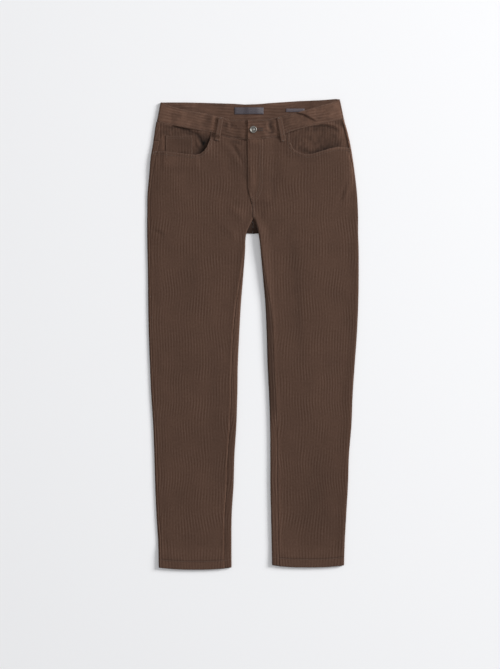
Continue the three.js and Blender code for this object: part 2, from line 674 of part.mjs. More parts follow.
// Finishes
const finish = (color, roughness, metalness = 0) =>
  new THREE.MeshStandardMaterial({ color, roughness, metalness });
const CORDUROY = finish(0x52403a, 0.95);
const ZIP_TAPE = finish(0x2c2724, 0.8);
const BUTTON_METAL = finish(0x8b857f, 0.38, 0.9);
const LABEL_CLOTH = finish(0x3d3b47, 0.7);
const SIDE_LABEL_CLOTH = finish(0x5a5157, 0.75);

const pieces = [
  ["back_leg_right", backLeg(right), CORDUROY],
  ["back_leg_left", backLeg(left), CORDUROY],
  ["back_yoke_right", backYoke(right), CORDUROY],
  ["back_yoke_left", backYoke(left), CORDUROY],
  ["back_pocket_right", backPocket(right), CORDUROY],
  ["back_pocket_left", backPocket(left), CORDUROY],
  ["front_right", frontPanel(right, rightFrontLift, MOUTH_RIGHT), CORDUROY],
  ["front_left", frontPanel(left, leftFrontLift, MOUTH_LEFT), CORDUROY],
  ["pocket_facing_right", pocketFacing(right), CORDUROY],
  ["pocket_facing_left", pocketFacing(left), CORDUROY],
  ["coin_pocket", coinPocket(), CORDUROY],
  ["waistband", waistband(), CORDUROY],
  ["belt_loop_front_right", frontLoop([-72.7, 498.9], [-82.6, 444.8]), CORDUROY],
  ["belt_loop_front_left", frontLoop([60.7, 498.6], [70.4, 442.5]), CORDUROY],
  ["belt_loop_back_right", backLoop(BACK_LOOP_PLACES[0]), CORDUROY],
  ["belt_loop_back_middle", backLoop(BACK_LOOP_PLACES[1]), CORDUROY],
  ["belt_loop_back_left", backLoop(BACK_LOOP_PLACES[2]), CORDUROY],
  ["button", button(), BUTTON_METAL],
  ["fly_zip", flyZip(), ZIP_TAPE],
  ["label_main", label(MAIN_LABEL), LABEL_CLOTH],
  ["label_side", label(SIDE_LABEL), SIDE_LABEL_CLOTH],
];

const trousers = new THREE.Group();
for (const [name, geometry, material] of pieces) {
  const mesh = new THREE.Mesh(geometry, material);
  mesh.name = name;
  trousers.add(mesh);
}

export default trousers;
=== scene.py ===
import math

import bpy
import numpy as np
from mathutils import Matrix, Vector
from mathutils.bvhtree import BVHTree


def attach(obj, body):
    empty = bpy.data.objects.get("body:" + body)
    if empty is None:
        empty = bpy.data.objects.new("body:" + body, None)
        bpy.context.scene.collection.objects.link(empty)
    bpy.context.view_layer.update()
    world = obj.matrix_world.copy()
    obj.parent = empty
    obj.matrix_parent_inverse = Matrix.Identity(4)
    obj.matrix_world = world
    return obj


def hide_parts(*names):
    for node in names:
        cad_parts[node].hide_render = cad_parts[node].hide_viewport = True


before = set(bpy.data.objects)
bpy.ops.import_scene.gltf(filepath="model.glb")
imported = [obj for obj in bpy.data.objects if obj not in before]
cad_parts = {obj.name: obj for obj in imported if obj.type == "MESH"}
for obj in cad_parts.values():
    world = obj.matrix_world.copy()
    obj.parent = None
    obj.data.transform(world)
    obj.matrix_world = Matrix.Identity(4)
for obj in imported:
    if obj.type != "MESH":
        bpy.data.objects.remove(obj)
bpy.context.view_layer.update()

# Corduroy trousers laid flat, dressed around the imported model, with floor, light and camera.
# Sizes are in millimetres. u or d is the distance from the middle line, y the height up the garment.
MM = 0.001

# Cloth
CLOTH = 1.4
PATCH = 1.2
GAP = 0.3
LAYER = CLOTH + GAP
HALF_GAP = GAP / 2
WALE = 1.7                # from one rib of the corduroy to the next
RELIEF = 0.34             # depth of the grooves between the ribs

# Side folds and hems
FOLD_REACH = 3.2
FOLD_HEIGHT = 5.6
FOLD_WIDTH = 26
FOLD_ARC = math.pi * math.hypot(FOLD_REACH, FOLD_HEIGHT / 2) / math.sqrt(2)
HEM_CLOTH = 2.7
HEM_LINE = -521
HEM_END = -541
HEM_FADE = -485           # above this the cloth of the hem has no effect
HEM_ROUND = 5
HIP_TOP = 470             # rows of a front end here, before they are warped to its top line
WARP_FROM = 398           # rows above this follow the waistband and the pocket mouths
CROTCH = 233
LEGS_JOIN = 295           # below this a front ends at its inner seam
LEGS_PART = 262           # and below this it rolls fully over its inner fold
RIDGE_TOP = 225           # the seams of the legs stand proud below this
BACK_LEVEL = 404.0        # above this a back's rows follow the yoke's seam
YOKE_MIDDLE = 460.0
YOKE_DEPTH = 55
YOKE_REACH = 240
MOST_SINK = 1.0           # an edge is rounded off by no more than this
SETTLING_ROUNDS = 4       # in which the end of a row settles on its own height

# Stitch lines, from the edge beside them
HEM_STITCH = 18.5
MOUTH_STITCHES = (1.8, 7.2)
BAND_STITCH = 2.2

# Waistband
BAND_CLOTH = 2.6
BAND_RISE = 4.7
BAND_FOLD_REACH = 2.9
BAND_STRAIGHT = 100       # its cross-sections are upright up to here, and lean beyond
BAND_PUFF = 0.35          # how much the front of the band stands proud
BAND_WIDTH = 42.0
BAND_ROWS = 51
LOOP_CLOTH = 1.6
LOOP_WIDTH = 11.5
LABEL_CLOTH = 0.6
LABEL_STEP = 1.6          # between the columns of a label
BACK_LOOP_CLOTH = 1.0
BACK_LOOP_PLACES = (-150, 0, 150)
BACK_LOOP_LIFT = BACK_LOOP_CLOTH + GAP
FRONT_LOOPS = dict(right=((-72.7, 498.9), (-82.6, 444.8)), left=((60.7, 498.6), (70.4, 442.5)))

# Fly, button and pockets
FLY_EDGE = -12.4
UNDERLAP_END = 14         # of the right front, under the fly
BAND_UNDER_END = 24
ZIP_THICK = 0.8
FLY_LIFT = GAP + ZIP_THICK + GAP + CLOTH
BUTTON = (0.9, 470.1)
BUTTONHOLE_END = 23.2
FLAP_LOW = 258            # the left front begins to lie over the seam here
FLAP_FLAT = 271           # and lies flat above this
FACING_INNER = 72
FACING_LOWEST = 390
FACING_SHOWN = (404, 424)
COIN = dict(inner=139.4, outer=200, top=457, bottom=397)
BACK_POCKET = dict(inner=56, outer=190, top=386, side=262, point=238)


def table(*rows):
    return np.array(rows, dtype=float)


def along(rows, at, column=1):
    """Smooth curve through a table's rows, held level past its ends."""
    keys, values = rows[:, 0], rows[:, column]
    last = len(keys) - 1
    low = np.maximum(np.arange(last + 1) - 1, 0)
    high = np.minimum(np.arange(last + 1) + 1, last)
    slope = (values[high] - values[low]) / (keys[high] - keys[low])
    at = np.clip(at, keys[0], keys[-1])
    k = np.clip(np.searchsorted(keys, at, side="right") - 1, 0, last - 1)
    span = keys[k + 1] - keys[k]
    t = (at - keys[k]) / span
    ease = t * t * (3 - 2 * t)
    bend = t * (1 - t) * span * ((1 - t) * slope[k] - t * slope[k + 1])
    return values[k] + (values[k + 1] - values[k]) * ease + bend


def straight(rows, at):
    return np.interp(at, rows[:, 0], rows[:, 1])


def smooth(start, end, value):
    part = np.clip((value - start) / (end - start), 0, 1)
    return part * part * (3 - 2 * part)


def plateau(value, low, high, fade):
    return smooth(low - fade, low, value) * (1 - smooth(high, high + fade, value))


def bell(value, middle, width):
    return np.exp(-(((value - middle) / width) ** 2))


def level(value):
    """A line or surface with the same height everywhere."""
    return lambda x, *y: np.full(np.shape(x), float(value))


def mix(a, b, part):
    return a + (b - a) * part


# Height up the garment, the right leg's outer and inner fold, and the left leg's
OUTLINE = table(
    (-541, 216.6, 49.0, 209.3, 44.1), (-484, 217.6, 49.3, 210.9, 43.1),
    (-415, 221.8, 48.7, 214.6, 41.6), (-346, 224.7, 44.4, 218.6, 40.2),
    (-277, 226.8, 42.3, 220.9, 40.1), (-208, 229.5, 37.9, 226.6, 39.3),
    (-139, 233.9, 35.7, 229.4, 37.1), (-70, 236.9, 34.5, 234.0, 33.6), (-1, 239.4, 31.4, 239.0, 31.7),
    (68, 240.8, 27.6, 242.2, 28.6), (137, 241.4, 22.0, 243.2, 22.6), (194, 242.6, 17.6, 243.1, 17.2),
    (231, 243.2, 15.4, 242.0, 12.8), (250, 243.2, 7.5, 241.9, 8.5), (268, 243.2, -1.6, 241.9, 2.4),
    (275, 242.9, -1.3, 241.8, 1), (321, 242.5, 0, 239.6, 0), (367, 238.4, 0, 234.5, 0),
    (406, 235.2, 0, 229.2, 0), (438, 229.8, 0, 223.7, 0), (470, 225.3, 0, 216.3, 0),
    (490, 221.9, 0, 210.3, 0),
)
INSEAM = table(
    (-541, 22), (-335, 22), (-150, 20.5), (30, 19.5), (102, 14), (166, 8.5), (205, 5), (232, 3.5),
    (268, 3.5),
)
BAND_TOP_FRONT = table(
    (-212.5, 533), (-190.7, 524.2), (-151.6, 514), (-110, 508.1), (-78, 500), (-52, 494.3),
    (-13.6, 493.1), (27.8, 493.1), (62.3, 501), (101, 509.2), (138, 520.7), (177, 531),
    (200, 540.2),
)
BAND_BOTTOM_FRONT = table(
    (-221, 489), (-202, 484), (-144.7, 472.4), (-91.8, 463.2), (-71, 455.2), (-41, 448.3),
    (-13.6, 447.1), (20.9, 448.3), (62, 454), (85, 464.4), (108, 472.4), (154, 482.8),
    (196, 492), (209.5, 494.5),
)
BAND_TOP_BACK = table(
    (-212.5, 533), (-181, 533.4), (-121.7, 532.6), (-44, 530.3), (-18, 528.4), (10, 529.2),
    (39, 531.9), (108, 536.5), (154, 538.2), (190, 541.2), (200, 540.2),
)
BAND_BOTTOM_BACK = table((-221, 489), (-120, 487), (0, 484), (108, 490), (209.5, 494.5))
CROTCH_SEAM = table((256, -0.6), (270, -1.2), (295, -2.35), (309, -4.25), (323, -9), (339, FLY_EDGE))
YOKE_SEAM = table((-240, 446), (0, 424), (240, 446))
MOUTH_RIGHT = table(
    (-231, 420.7), (-202, 420.7), (-156, 415), (-131, 412.6), (-121.7, 414.9), (-112.5, 421.8),
    (-105.6, 431), (-101, 442.5), (-97.5, 454), (-96.4, 461), (-96, 470),
)
MOUTH_LEFT = table(
    (85, 470), (85.3, 463.2), (86.5, 440.2), (94.5, 424.1), (108.3, 417.2),
    (122, 413.8), (136, 414.9), (154.3, 420.7), (177.3, 427.6), (195.7, 431), (212, 429.9),
    (226, 428.2),
)


class Leg:
    """One side of the trousers: its folds and seams as functions of the height y."""

    def __init__(self, name, side, hem_shift, column, outseam, edge, mouth, mouth_from):
        self.name, self.side, self.hem_shift, self.column = name, side, hem_shift, column
        self.outseam_rows, self.edge_rows = outseam, edge
        self.mouth, self.mouth_from = mouth, mouth_from

    def outer(self, y):
        return along(OUTLINE, y, self.column)

    def inner(self, y):
        return along(OUTLINE, y, self.column + 1)

    def outseam(self, y):
        return FOLD_ARC + along(self.outseam_rows, y)

    def edge(self, y):
        return straight(self.edge_rows, y)


RIGHT = Leg(
    "right", -1, 0.5, 1,
    table((-541, 3.5), (350, 3.5), (400, 8), (440, 11), (470, 8), (490, 4)),
    table((LEGS_JOIN, 2.65), (309, 4.55), (339, 4.55), (350, -UNDERLAP_END), (480, -UNDERLAP_END)),
    MOUTH_RIGHT, 92,
)
LEFT = Leg(
    "left", 1, 5.6, 3,
    table((-541, -1.5), (350, -1.5), (400, 1.5), (490, 1.5)),
    CROTCH_SEAM, MOUTH_LEFT, 80,
)


# Creases, and marks of painted shade and light
def marks(*rows):
    """Creases in the cloth, or marks of painted shade and light on it, from rows of numbers.

    A row has the x and y of each point of a path, then the half width and the rise. A rise below zero
    is a trough or a darker mark. The rise fades towards both ends of the path.
    """
    return [(np.reshape(row[:-2], (-1, 2)).astype(float), *row[-2:]) for row in rows]


LEG_CREASES = marks(
    (-71, 447, -52, 420, -33, 392, -18, 366, 9, 0.9), (-60, 447, -44, 430, -30, 404, -20, 385, 4, -0.7),
    (-54, 440, -40, 437, -28, 424, 4, 0.6), (-46, 395, -30, 360, -19, 330, 12, 0.5),
    (207, 306, 217, 330, 224, 350, 233, 366, 6, 1.0), (196, 300, 208, 330, 218, 356, 5, -0.5),
    (-236, 239, -218, 234, -202, 228, 3.5, -0.7), (-236, 246, -216, 242, -196, 233, 6, 0.5),
    (-190, 385, -175, 330, -168, 280, 22, 0.6), (70, 400, 86, 350, 92, 300, 18, 0.5),
    (-60, 300, -30, 275, -12, 250, 10, 0.9), (-88, 262, -50, 235, -24, 205, 10, 0.6),
    (58, 306, 30, 280, 10, 252, 10, 0.8), (92, 268, 54, 236, 24, 200, 11, 0.6),
    (-130, 200, -118, 120, -112, 60, 36, 0.5), (126, 230, 118, 150, 120, 80, 38, 0.5),
    (-232, -60, -190, -75, -150, -70, 14, 0.5), (-60, -40, -95, -62, -130, -66, 13, 0.5),
    (232, -40, 196, -60, 160, -58, 14, 0.5), (58, -70, 92, -88, 126, -84, 13, 0.5),
    (-130, -30, -132, -150, -128, -260, 30, 0.6), (140, 10, 136, -120, 132, -240, 32, 0.6),
    (-124, -300, -128, -400, -130, -490, 28, 0.5), (122, -290, 124, -390, 126, -480, 30, 0.5),
)
# Painted shade and light on the fronts: darker beside raised edges such as the fly's and in troughs, lighter
# on ridges and seams.
LEG_SHADING_MARKS = marks(
    (-19, 446, -19, 400, -15, 340, 5, -0.26), (-32, 436, -28, 390, -17, 350, 7, -0.12),
    (-40, 420, -30, 380, -14, 350, 8, -0.08), (-60, 440, -52, 420, -46, 405, 9, -0.08),
    (-4, 444, -2, 380, 0, 300, 7, 0.16), (86, 290, 95, 190, 104, 90, 110, -10, 116, -120, 11, -0.13),
    (56, 250, 60, 180, 66, 80, 70, -20, 9, 0.05), (38, 462, 40, 390, 36, 320, 7, -0.12),
    (6, 462, 7, 410, 4, 350, 5, 0.12), (-54, 440, -45, 404, -42, 360, 8, -0.1),
    (-232, 405, -200, 397, -160, 396, 13, 0.1), (74, 412, 110, 401, 150, 407, 190, 416, 9, -0.1),
    (150, 290, 158, 180, 164, 60, 26, 0.05), (128, -200, 146, -300, 152, -390, 148, -500, 38, -0.15),
    (-92, -20, -84, -160, -82, -280, -88, -380, 22, -0.08), (-9.5, 462, -9.5, 420, -8, 372, 3, 0.34),
    (3, 376, 4, 352, 5, 326, 3, 0.25), (160, 419, 178, 425.5, 196, 429, 214, 427.5, 236, 425, 3.6, 0.34),
    (-120, -180, -110, -260, -118, -330, 30, -0.05), (-150, 160, -140, 90, -150, 20, 36, -0.04),
    (-234, 436, -236, 380, -240, 330, 9, 0.07), (214, 410, 224, 380, 232, 340, 10, 0.06),
    (-60, 300, -30, 285, -10, 280, 9, 0.07), (-70, -350, -66, -430, -72, -500, 16, 0.05),
    (62, -350, 58, -430, 62, -500, 10, 0.07), (-54, 445, -38, 442, -22, 436, 4, -0.37),
    (-46, 430, -34, 418, -26, 404, 6, -0.2), (-66, 412, -56, 390, -48, 368, 9, -0.1),
    (-7, 326, -5, 311, -3, 298, 3, 0.51), (-42, 312, -37, 298, -34, 284, 9, -0.17),
    (44, 370, 49, 330, 46, 290, 8, -0.17), (-18, 446, 5, 444, 28, 444, 4, 0.24),
    (212, 428, 225, 400, 227, 378, 229, 357, 228, 320, 3, 0.68),
)
RIGHT_FACING_CREASES = marks(
    (-214, 473, -177, 477, -158, 471.5, -149, 470, -126, 458.6, -118, 446, 3, -1.5),
    (-210, 480, -180, 485, -150, 479, -126, 466, 4, 0.9), (-122, 456, -119, 440, -112, 428, 3, -1.0),
    (-132, 452, -126, 436, -122, 424, 3, 0.8),
)
# Painted shade in the right pocket's creases and gape, and painted light on its ridges.
RIGHT_FACING_MARKS = marks(
    (-214, 473, -177, 477, -158, 471.5, -149, 470, -126, 458.6, -118, 446, 2.4, -0.5),
    (-134, 464, -124, 455, -114, 440, -116, 426, 6, -0.56), (-128, 452, -124, 440, -121, 430, 3, 0.2),
    (-210, 480, -180, 485, -146, 478, 4, 0.1), (-138, 456, -137, 443, -136, 430, 4, 0.27),
    (-162, 467, -146, 462, -130, 455, 4, -0.37), (-205, 470, -205, 440, -205, 408, 4, 0.59),
    (-222, 474, -206, 474, -186, 476, 5, 0.27),
)
LEFT_FACING_CREASES = marks(
    (136, 479, 150, 483, 168, 485.5, 187, 481, 207, 470, 3.2, 2.2),
    (126, 474, 148, 477, 168, 479, 186, 474, 199, 463, 2.8, -1.3), (200, 462, 201, 448, 192, 436, 7, -1.0),
    (104, 462, 120, 468, 142, 474, 4, 0.7), (110, 450, 140, 445, 176, 452, 10, 0.7),
)
# Painted shade and light on the coin pocket.
COIN_MARKS = marks(
    (-186, 446, -164, 441, -140, 430, 11, -0.13), (-150, 452, -146, 436, -148, 416, 6, -0.07),
    (-200, 470, -200, 440, -200, 408, 3, 0.51), (-174, 420, -155, 417, -138, 415, 4, -0.27),
)
# Painted shade in the left pocket's creases and gape, and painted light on its ridges.
LEFT_FACING_MARKS = marks(
    (138, 476, 149, 456, 158, 432, 8, -0.14),
    (118, 472, 136, 477, 154, 479.5, 168, 479.5, 186, 473.5, 201, 462, 2.8, -0.45),
    (136, 481, 150, 484, 168, 486, 187, 482, 207, 470, 2.8, 0.3), (203, 464, 202, 448, 190, 434, 6, -0.16),
    (92, 452, 98, 436, 112, 424, 5, -0.08), (140, 423, 160, 429, 178, 435, 202, 438, 8, -0.26),
    (150, 470, 172, 456, 190, 440, 16, -0.1), (132, 466, 150, 472, 168, 470, 5, -0.37),
    (186, 462, 191, 451, 188, 440, 5, -0.34), (146, 449, 154, 443, 162, 437, 5, -0.27),
    (121, 454, 124, 440, 127, 426, 6, 0.31), (202, 482, 208, 450, 213, 418, 8, 0.71),
    (96, 430, 130, 418, 150, 419, 172, 424, 200, 432, 5, -0.41), (160, 485, 180, 480.5, 200, 474, 3, 0.34),
)
BAND_CREASES = marks(
    (34, 491, 31, 478, 36, 466, 3, 1.2), (44, 492, 40, 480, 46, 462, 2.6, -1.0),
    (51, 493, 49, 480, 55, 464, 3, 1.0), (26, 470, 36, 463, 50, 464, 2.6, -0.8),
    (-60, 492, -56, 478, -62, 462, 3.5, 0.9), (-52, 492, -48, 480, -52, 468, 2.6, -0.8),
    (-40, 490, -36, 478, -42, 462, 3.4, 0.7), (-24, 488, -22, 474, -26, 458, 4, -0.6),
    (-58, 484, -44, 476, -34, 478, 3, -0.6), (-185, 505, -160, 500, -130, 494, -104, 492, 8, 0.8),
    (-150, 488, -120, 480, -100, 478, 6, -0.6), (90, 492, 104, 486, 124, 486, 6, 0.8),
    (160, 514, 180, 520, 196, 524, 7, 0.7), (150, 496, 172, 500, 192, 503, 6, -0.5),
)
# Painted shade and light on the waistband: darker in troughs and beside raised edges, lighter on ridges and
# beside the loops.
BAND_MARKS = marks(
    (44, 492, 40, 480, 46, 462, 2.4, -0.34), (26, 470, 36, 463, 50, 464, 2.4, -0.28),
    (34, 491, 31, 478, 36, 466, 2.6, 0.22), (51, 493, 49, 480, 54, 464, 2.6, 0.2),
    (-64, 492, -60, 484, -64, 474, 2.6, -0.26), (-58, 492, -55, 482, -58, 470, 2.4, 0.16),
    (-52, 492, -48, 480, -52, 468, 2.4, -0.28), (-16.5, 492, -16.5, 470, -16.5, 449, 3.4, 0.5),
    (-200, 520, -170, 512, -140, 500, 6, 0.12), (-186, 500, -150, 492, -112, 484, 5, 0.1),
    (-196, 512, -176, 503, -150, 497, 3, -0.12), (-120, 500, -104, 495, -90, 494, 3, -0.12),
    (150, 512, 172, 518, 190, 528, 4, -0.1), (146, 498, 170, 502, 196, 504, 5, 0.12),
    (-87, 516, -90, 484, -95, 446, 4.5, 0.9), (-128, 519, -104, 514, -82, 506, 4, 0.34),
    (148, 509, 158, 512, 170, 516, 6, 0.24), (134, 494, 166, 494, 198, 489, 5, -0.13),
    (38, 510, 38, 488, 40, 466, 5, -0.31), (4, 498, 20, 497, 36, 494, 4, -0.2),
    (-18, 452, 4, 450, 28, 450, 4, 0.34), (82, 487, 98, 484, 112, 482, 5, 0.26),
    (68, 510, 92, 511, 116, 514, 5, 0.26), (-24, 488, -22, 474, -26, 458, 4, -0.12),
    (-58, 484, -44, 476, -34, 478, 2.6, -0.16), (-64, 452, -44, 454, -22, 451, 2.6, -0.2),
    (-40, 490, -36, 478, -42, 462, 3, 0.1), (-150, 488, -120, 480, -100, 478, 6, -0.08),
    (196, 530, 204, 512, 206, 500, 7, 0.14), (204, 518, 208, 502, 210, 488, 5, 0.4),
    (-9, 500, -9, 470, -9, 440, 3.4, 0.34), (-74, 520, -80, 490, -89, 464, -96, 430, 4, 0.5),
    (54, 515, 58, 480, 66, 440, 3, 0.4), (-134, 514, -108, 506, -80, 498, 5, 0.18),
    (118, 507, 145, 501, 172, 497, 6, -0.16), (39, 500, 41, 478, 44, 440, 5, -0.12),
)
# Painted shade and light on the inside of the back band.
BACK_BAND_MARKS = marks(
    (22, 527, 60, 532, 98, 537, 7, 0.34), (-178, 530, -160, 529, -144, 526, 5, 0.27),
    (-96, 529, -76, 527, -56, 525, 5, -0.17), (-130, 519, -104, 515, -80, 508, 4, 0.34),
    (10, 530, 60, 534, 110, 537, 160, 539, 3, 0.24), (-200, 532, -150, 532, -100, 531, 3, 0.18),
    (-190, 526, -140, 519, -90, 510, -60, 504, 3, -0.14), (-170, 531, -120, 524, -76, 518, 3, 0.08),
    (-74, 520, -56, 512, -46, 502, 3, -0.12), (40, 516, 66, 512, 100, 516, 130, 526, 4, -0.14),
    (30, 508, 52, 504, 70, 506, 4, -0.1), (130, 533, 160, 532, 188, 536, 3, -0.14),
)


def path_distance(x, y, path):
    """Distance to a path, and how far along it the nearest point lies, from 0 to 1."""
    steps = np.hypot(*np.diff(path, axis=0).T)
    before = np.concatenate([[0], np.cumsum(steps)])
    best = np.full(np.shape(x), 1e9)
    part = np.zeros(np.shape(x))
    for k, (a, b) in enumerate(zip(path[:-1], path[1:])):
        d = b - a
        t = ((x - a[0]) * d[0] + (y - a[1]) * d[1]) / (d @ d)
        low = -0.5 if k == 0 else 0
        high = 1.5 if k == len(steps) - 1 else 1
        t = np.clip(t, low, high)
        away = np.hypot(x - a[0] - t * d[0], y - a[1] - t * d[1])
        near = away < best
        best = np.where(near, away, best)
        part = np.where(near, (before[k] + t * steps[k]) / before[-1], part)
    return best, part


def crease_height(x, y, creases):
    rise = np.zeros(np.shape(x))
    for path, width, height in creases:
        away, part = path_distance(x, y, path)
        fade = np.clip(1 - (2 * part - 1) ** 2, 0, 1)
        rise += height * fade * bell(away, 0, width)
    return rise


def soft_noise(x, y, size, seed):
    """Smooth unevenness from -1 to 1, with humps about size apart."""
    cells = 64
    grid = np.random.default_rng(seed).uniform(-1, 1, (cells, cells))
    px, py = x / size + 17.3, y / size + 29.1
    ix, iy = np.floor(px).astype(int), np.floor(py).astype(int)
    fx, fy = px - ix, py - iy
    fx, fy = fx * fx * (3 - 2 * fx), fy * fy * (3 - 2 * fy)

    def at(i, j):
        return grid[(ix + i) % cells, (iy + j) % cells]

    low = mix(at(0, 0), at(1, 0), fx)
    return mix(low, mix(at(0, 1), at(1, 1), fx), fy)


# Heights of the layers, as in the solids
def back_lift(d, y, early=0, fade=20):
    across = plateau(d, 52.5 - early, 198 + early, fade)
    return (PATCH + GAP) * across * plateau(y, 232 - early, 390, fade)


def facing_lift(d, y):
    return LAYER * smooth(38, FACING_INNER, d) * smooth(FACING_LOWEST - 70, FACING_LOWEST - 1, y)


def fold_height(y):
    return FOLD_HEIGHT + 0.8 * (1 - smooth(HEM_LINE, HEM_FADE, y))


def fold_rise(leg, y, inner):
    """What a fold stands above the usual height: the left leg's inner one is lifted off the floor."""
    if inner and leg is LEFT:
        return 1.2 * smooth(-140, 60, y) + 3.6 * smooth(60, 225, y) * (1 - smooth(234, LEGS_PART, y))
    if not inner and leg is RIGHT:
        return -1.9 * smooth(-505, -470, y)
    return 0


def wall_at(y):
    return mix(HEM_CLOTH, CLOTH, smooth(HEM_LINE - 2, HEM_LINE + 2, y))


def surface_height(leg, d, y):
    """Outer surface of the front, without what lifts only one panel."""
    x = leg.side * d
    band_line = straight(BAND_BOTTOM_FRONT, x)
    height = CLOTH + LAYER + back_lift(d, y, 6, 60) + facing_lift(d, y)
    height = height + (2 * HEM_CLOTH + 2 * GAP - CLOTH - LAYER) * (1 - smooth(HEM_LINE, HEM_FADE, y))
    height = height + np.maximum(BAND_RISE - height, 0) * smooth(26, 6, band_line - y)
    outer = leg.outer(y) - FOLD_REACH - d
    inner = d - leg.inner(y) - FOLD_REACH
    parted = 1 - smooth(LEGS_PART, LEGS_JOIN, y)
    puff_out = 1 - smooth(0, FOLD_WIDTH, outer)
    puff_in = parted * (1 - smooth(0, FOLD_WIDTH, inner))
    puff = np.maximum(puff_out, puff_in)
    creases = 1.5 * crease_height(x, y, LEG_CREASES) + 1.0
    uneven = 0.6 * soft_noise(x, y, 58, 3) + 0.3 * soft_noise(x, y, 23, 4)
    free = (1 - puff) * smooth(HEM_END, -500, y) * smooth(0, 20, band_line - y)
    height = height + np.maximum(creases + uneven, 0.1) * free
    fold = fold_height(y) + np.where(puff_in > puff_out, fold_rise(leg, y, True), fold_rise(leg, y, False))
    return height + np.maximum(fold - height, 0) * puff


def right_front_lift(d, y):
    coin = (PATCH + GAP) * plateau(d, 131, 202, 12) * plateau(y, 388, 430, 18)
    gape = 3.6 * bell(d, 110, 15) * bell(y, 431, 20)
    return np.maximum(coin, gape)


def fly_line(y):
    """Curved stitch line of the fly, where its facing ends."""
    bottom, bend = 302, 360
    start, reach = -4.4, 26.5
    drop = np.clip((bend - y) / (bend - bottom), 0, 1)
    return start + reach * np.sqrt(1 - drop**2)


def left_front_lift(d, y):
    edge = mix(LAYER, FLY_LIFT, smooth(FLY_EDGE, -4.5, d))
    lift = mix(LAYER, edge, smooth(326, 345, y)) * (1 - smooth(27, 50, d))
    facing = 0.5 * smooth(1.2, -1.2, d - fly_line(y)) * smooth(296, 308, y)
    mouth = 1.2 * plateau(d, 84, 110, 14) * plateau(y, 420, 450, 14)
    return lift * smooth(LEGS_JOIN, 309, y) + facing + mouth


def ribs(u):
    """Height of the corduroy's ribs above their grooves, from 0 to 1."""
    return 1 - 2 * np.abs(u / WALE - np.round(u / WALE))


# Meshes
def make_object(name, points, faces, attributes=None, flat=False):
    mesh = bpy.data.meshes.new(name)
    mesh.from_pydata((np.asarray(points) * MM).tolist(), [], faces)
    mesh.validate()
    if not flat:
        mesh.shade_smooth()
    for key, values in (attributes or {}).items():
        layer = mesh.attributes.new(key, "FLOAT", "POINT")
        layer.data.foreach_set("value", np.asarray(values, dtype=np.float32))
    made = bpy.data.objects.new(name, mesh)
    bpy.context.scene.collection.objects.link(made)
    return made


def face_out(points, faces):
    """Turns the faces round if the closed mesh is inside out."""
    p = np.asarray(points)
    first = np.array([f[0] for f in faces])
    volume = 0.0
    for a, b in ((1, 2), (2, 3)):
        keep = [k for k, f in enumerate(faces) if len(f) > b]
        i, j, k = first[keep], [faces[n][a] for n in keep], [faces[n][b] for n in keep]
        volume += np.einsum("ij,ij->i", p[i], np.cross(p[j], p[k])).sum()
    return [f[::-1] for f in faces] if volume < 0 else faces


class Panel:
    """Cloth whose columns follow the ribs, one at each crest and groove, between two edges.

    Each row has its own low and high edge, and its other points lie at multiples of step, which is
    half a rib. u is a point's place across the ribs, and row is the number of its row.
    """

    def __init__(self, edges, step=WALE / 2):
        low, high = np.asarray(edges, dtype=float).T
        self.first = np.ceil((low + 0.3 * step) / step).astype(int)
        self.last = np.floor((high - 0.3 * step) / step).astype(int)
        rows = [
            np.concatenate([[a], np.arange(first, last + 1) * step, [b]])
            for a, b, first, last in zip(low, high, self.first, self.last)
        ]
        sizes = [len(row) for row in rows]
        self.start = [0, *np.cumsum(sizes).tolist()]
        self.u = np.concatenate(rows)
        self.row = np.repeat(np.arange(len(sizes)), sizes)

    def index(self, row, column):
        return int(self.start[row] + 1 + column - self.first[row])

    def faces(self):
        """Faces of the outer side, of the inner side and of the four edges."""
        start, count = self.start, len(self.u)
        outer, rim = [], []
        for row, (a_low, b_low, end) in enumerate(zip(start, start[1:], start[2:])):
            a_high, b_high = b_low - 1, end - 1
            first = max(self.first[row], self.first[row + 1])
            length = min(self.last[row], self.last[row + 1]) - first
            a, b = self.index(row, first), self.index(row + 1, first)
            across_a, across_b = np.arange(a, a + length), np.arange(b, b + length)
            outer += np.stack([across_a, across_a + 1, across_b + 1, across_b], 1).tolist()
            outer += fan(range(a_low, a + 1), range(b_low, b + 1))
            outer += fan(range(a + length, a_high + 1), range(b + length, b_high + 1))
            rim.append([a_low, b_low, b_low + count, a_low + count])
            rim.append([b_high, a_high, a_high + count, b_high + count])
        inner = [[v + count for v in face[::-1]] for face in outer]
        rim += [[v + 1, v, v + count, v + 1 + count] for v in range(start[0], start[1] - 1)]
        rim += [[v, v + 1, v + 1 + count, v + count] for v in range(start[-2], start[-1] - 1)]
        return outer + inner + rim


def fan(a, b):
    """Faces between two chains that start and end together, the longer one fanned to the other."""
    if len(a) == len(b):
        return [[a[k], a[k + 1], b[k + 1], b[k]] for k in range(len(a) - 1)]
    faces = []
    last_a, last_b = len(a) - 1, len(b) - 1
    i = j = 0
    while i < last_a or j < last_b:
        if i < last_a and (j == last_b or i * last_b <= j * last_a):
            faces.append([a[i], a[i + 1], b[j]])
            i += 1
        else:
            faces.append([a[i], b[j + 1], b[j]])
            j += 1
    return faces


def cloth_object(name, panel, outer, inner, run, pile_and_shading=1.0):
    """A panel with each point's place across and along the ribs, and its uneven pile and painted light and
    shade.
    """
    points = np.concatenate([outer, inner])
    pile_and_shading = np.broadcast_to(pile_and_shading, panel.u.shape)
    values = {"wale": np.tile(panel.u / WALE, 2), "run": np.tile(run, 2), "pile_and_shading": np.tile(pile_and_shading, 2)}
    return make_object(name, points, face_out(points, panel.faces()), values)


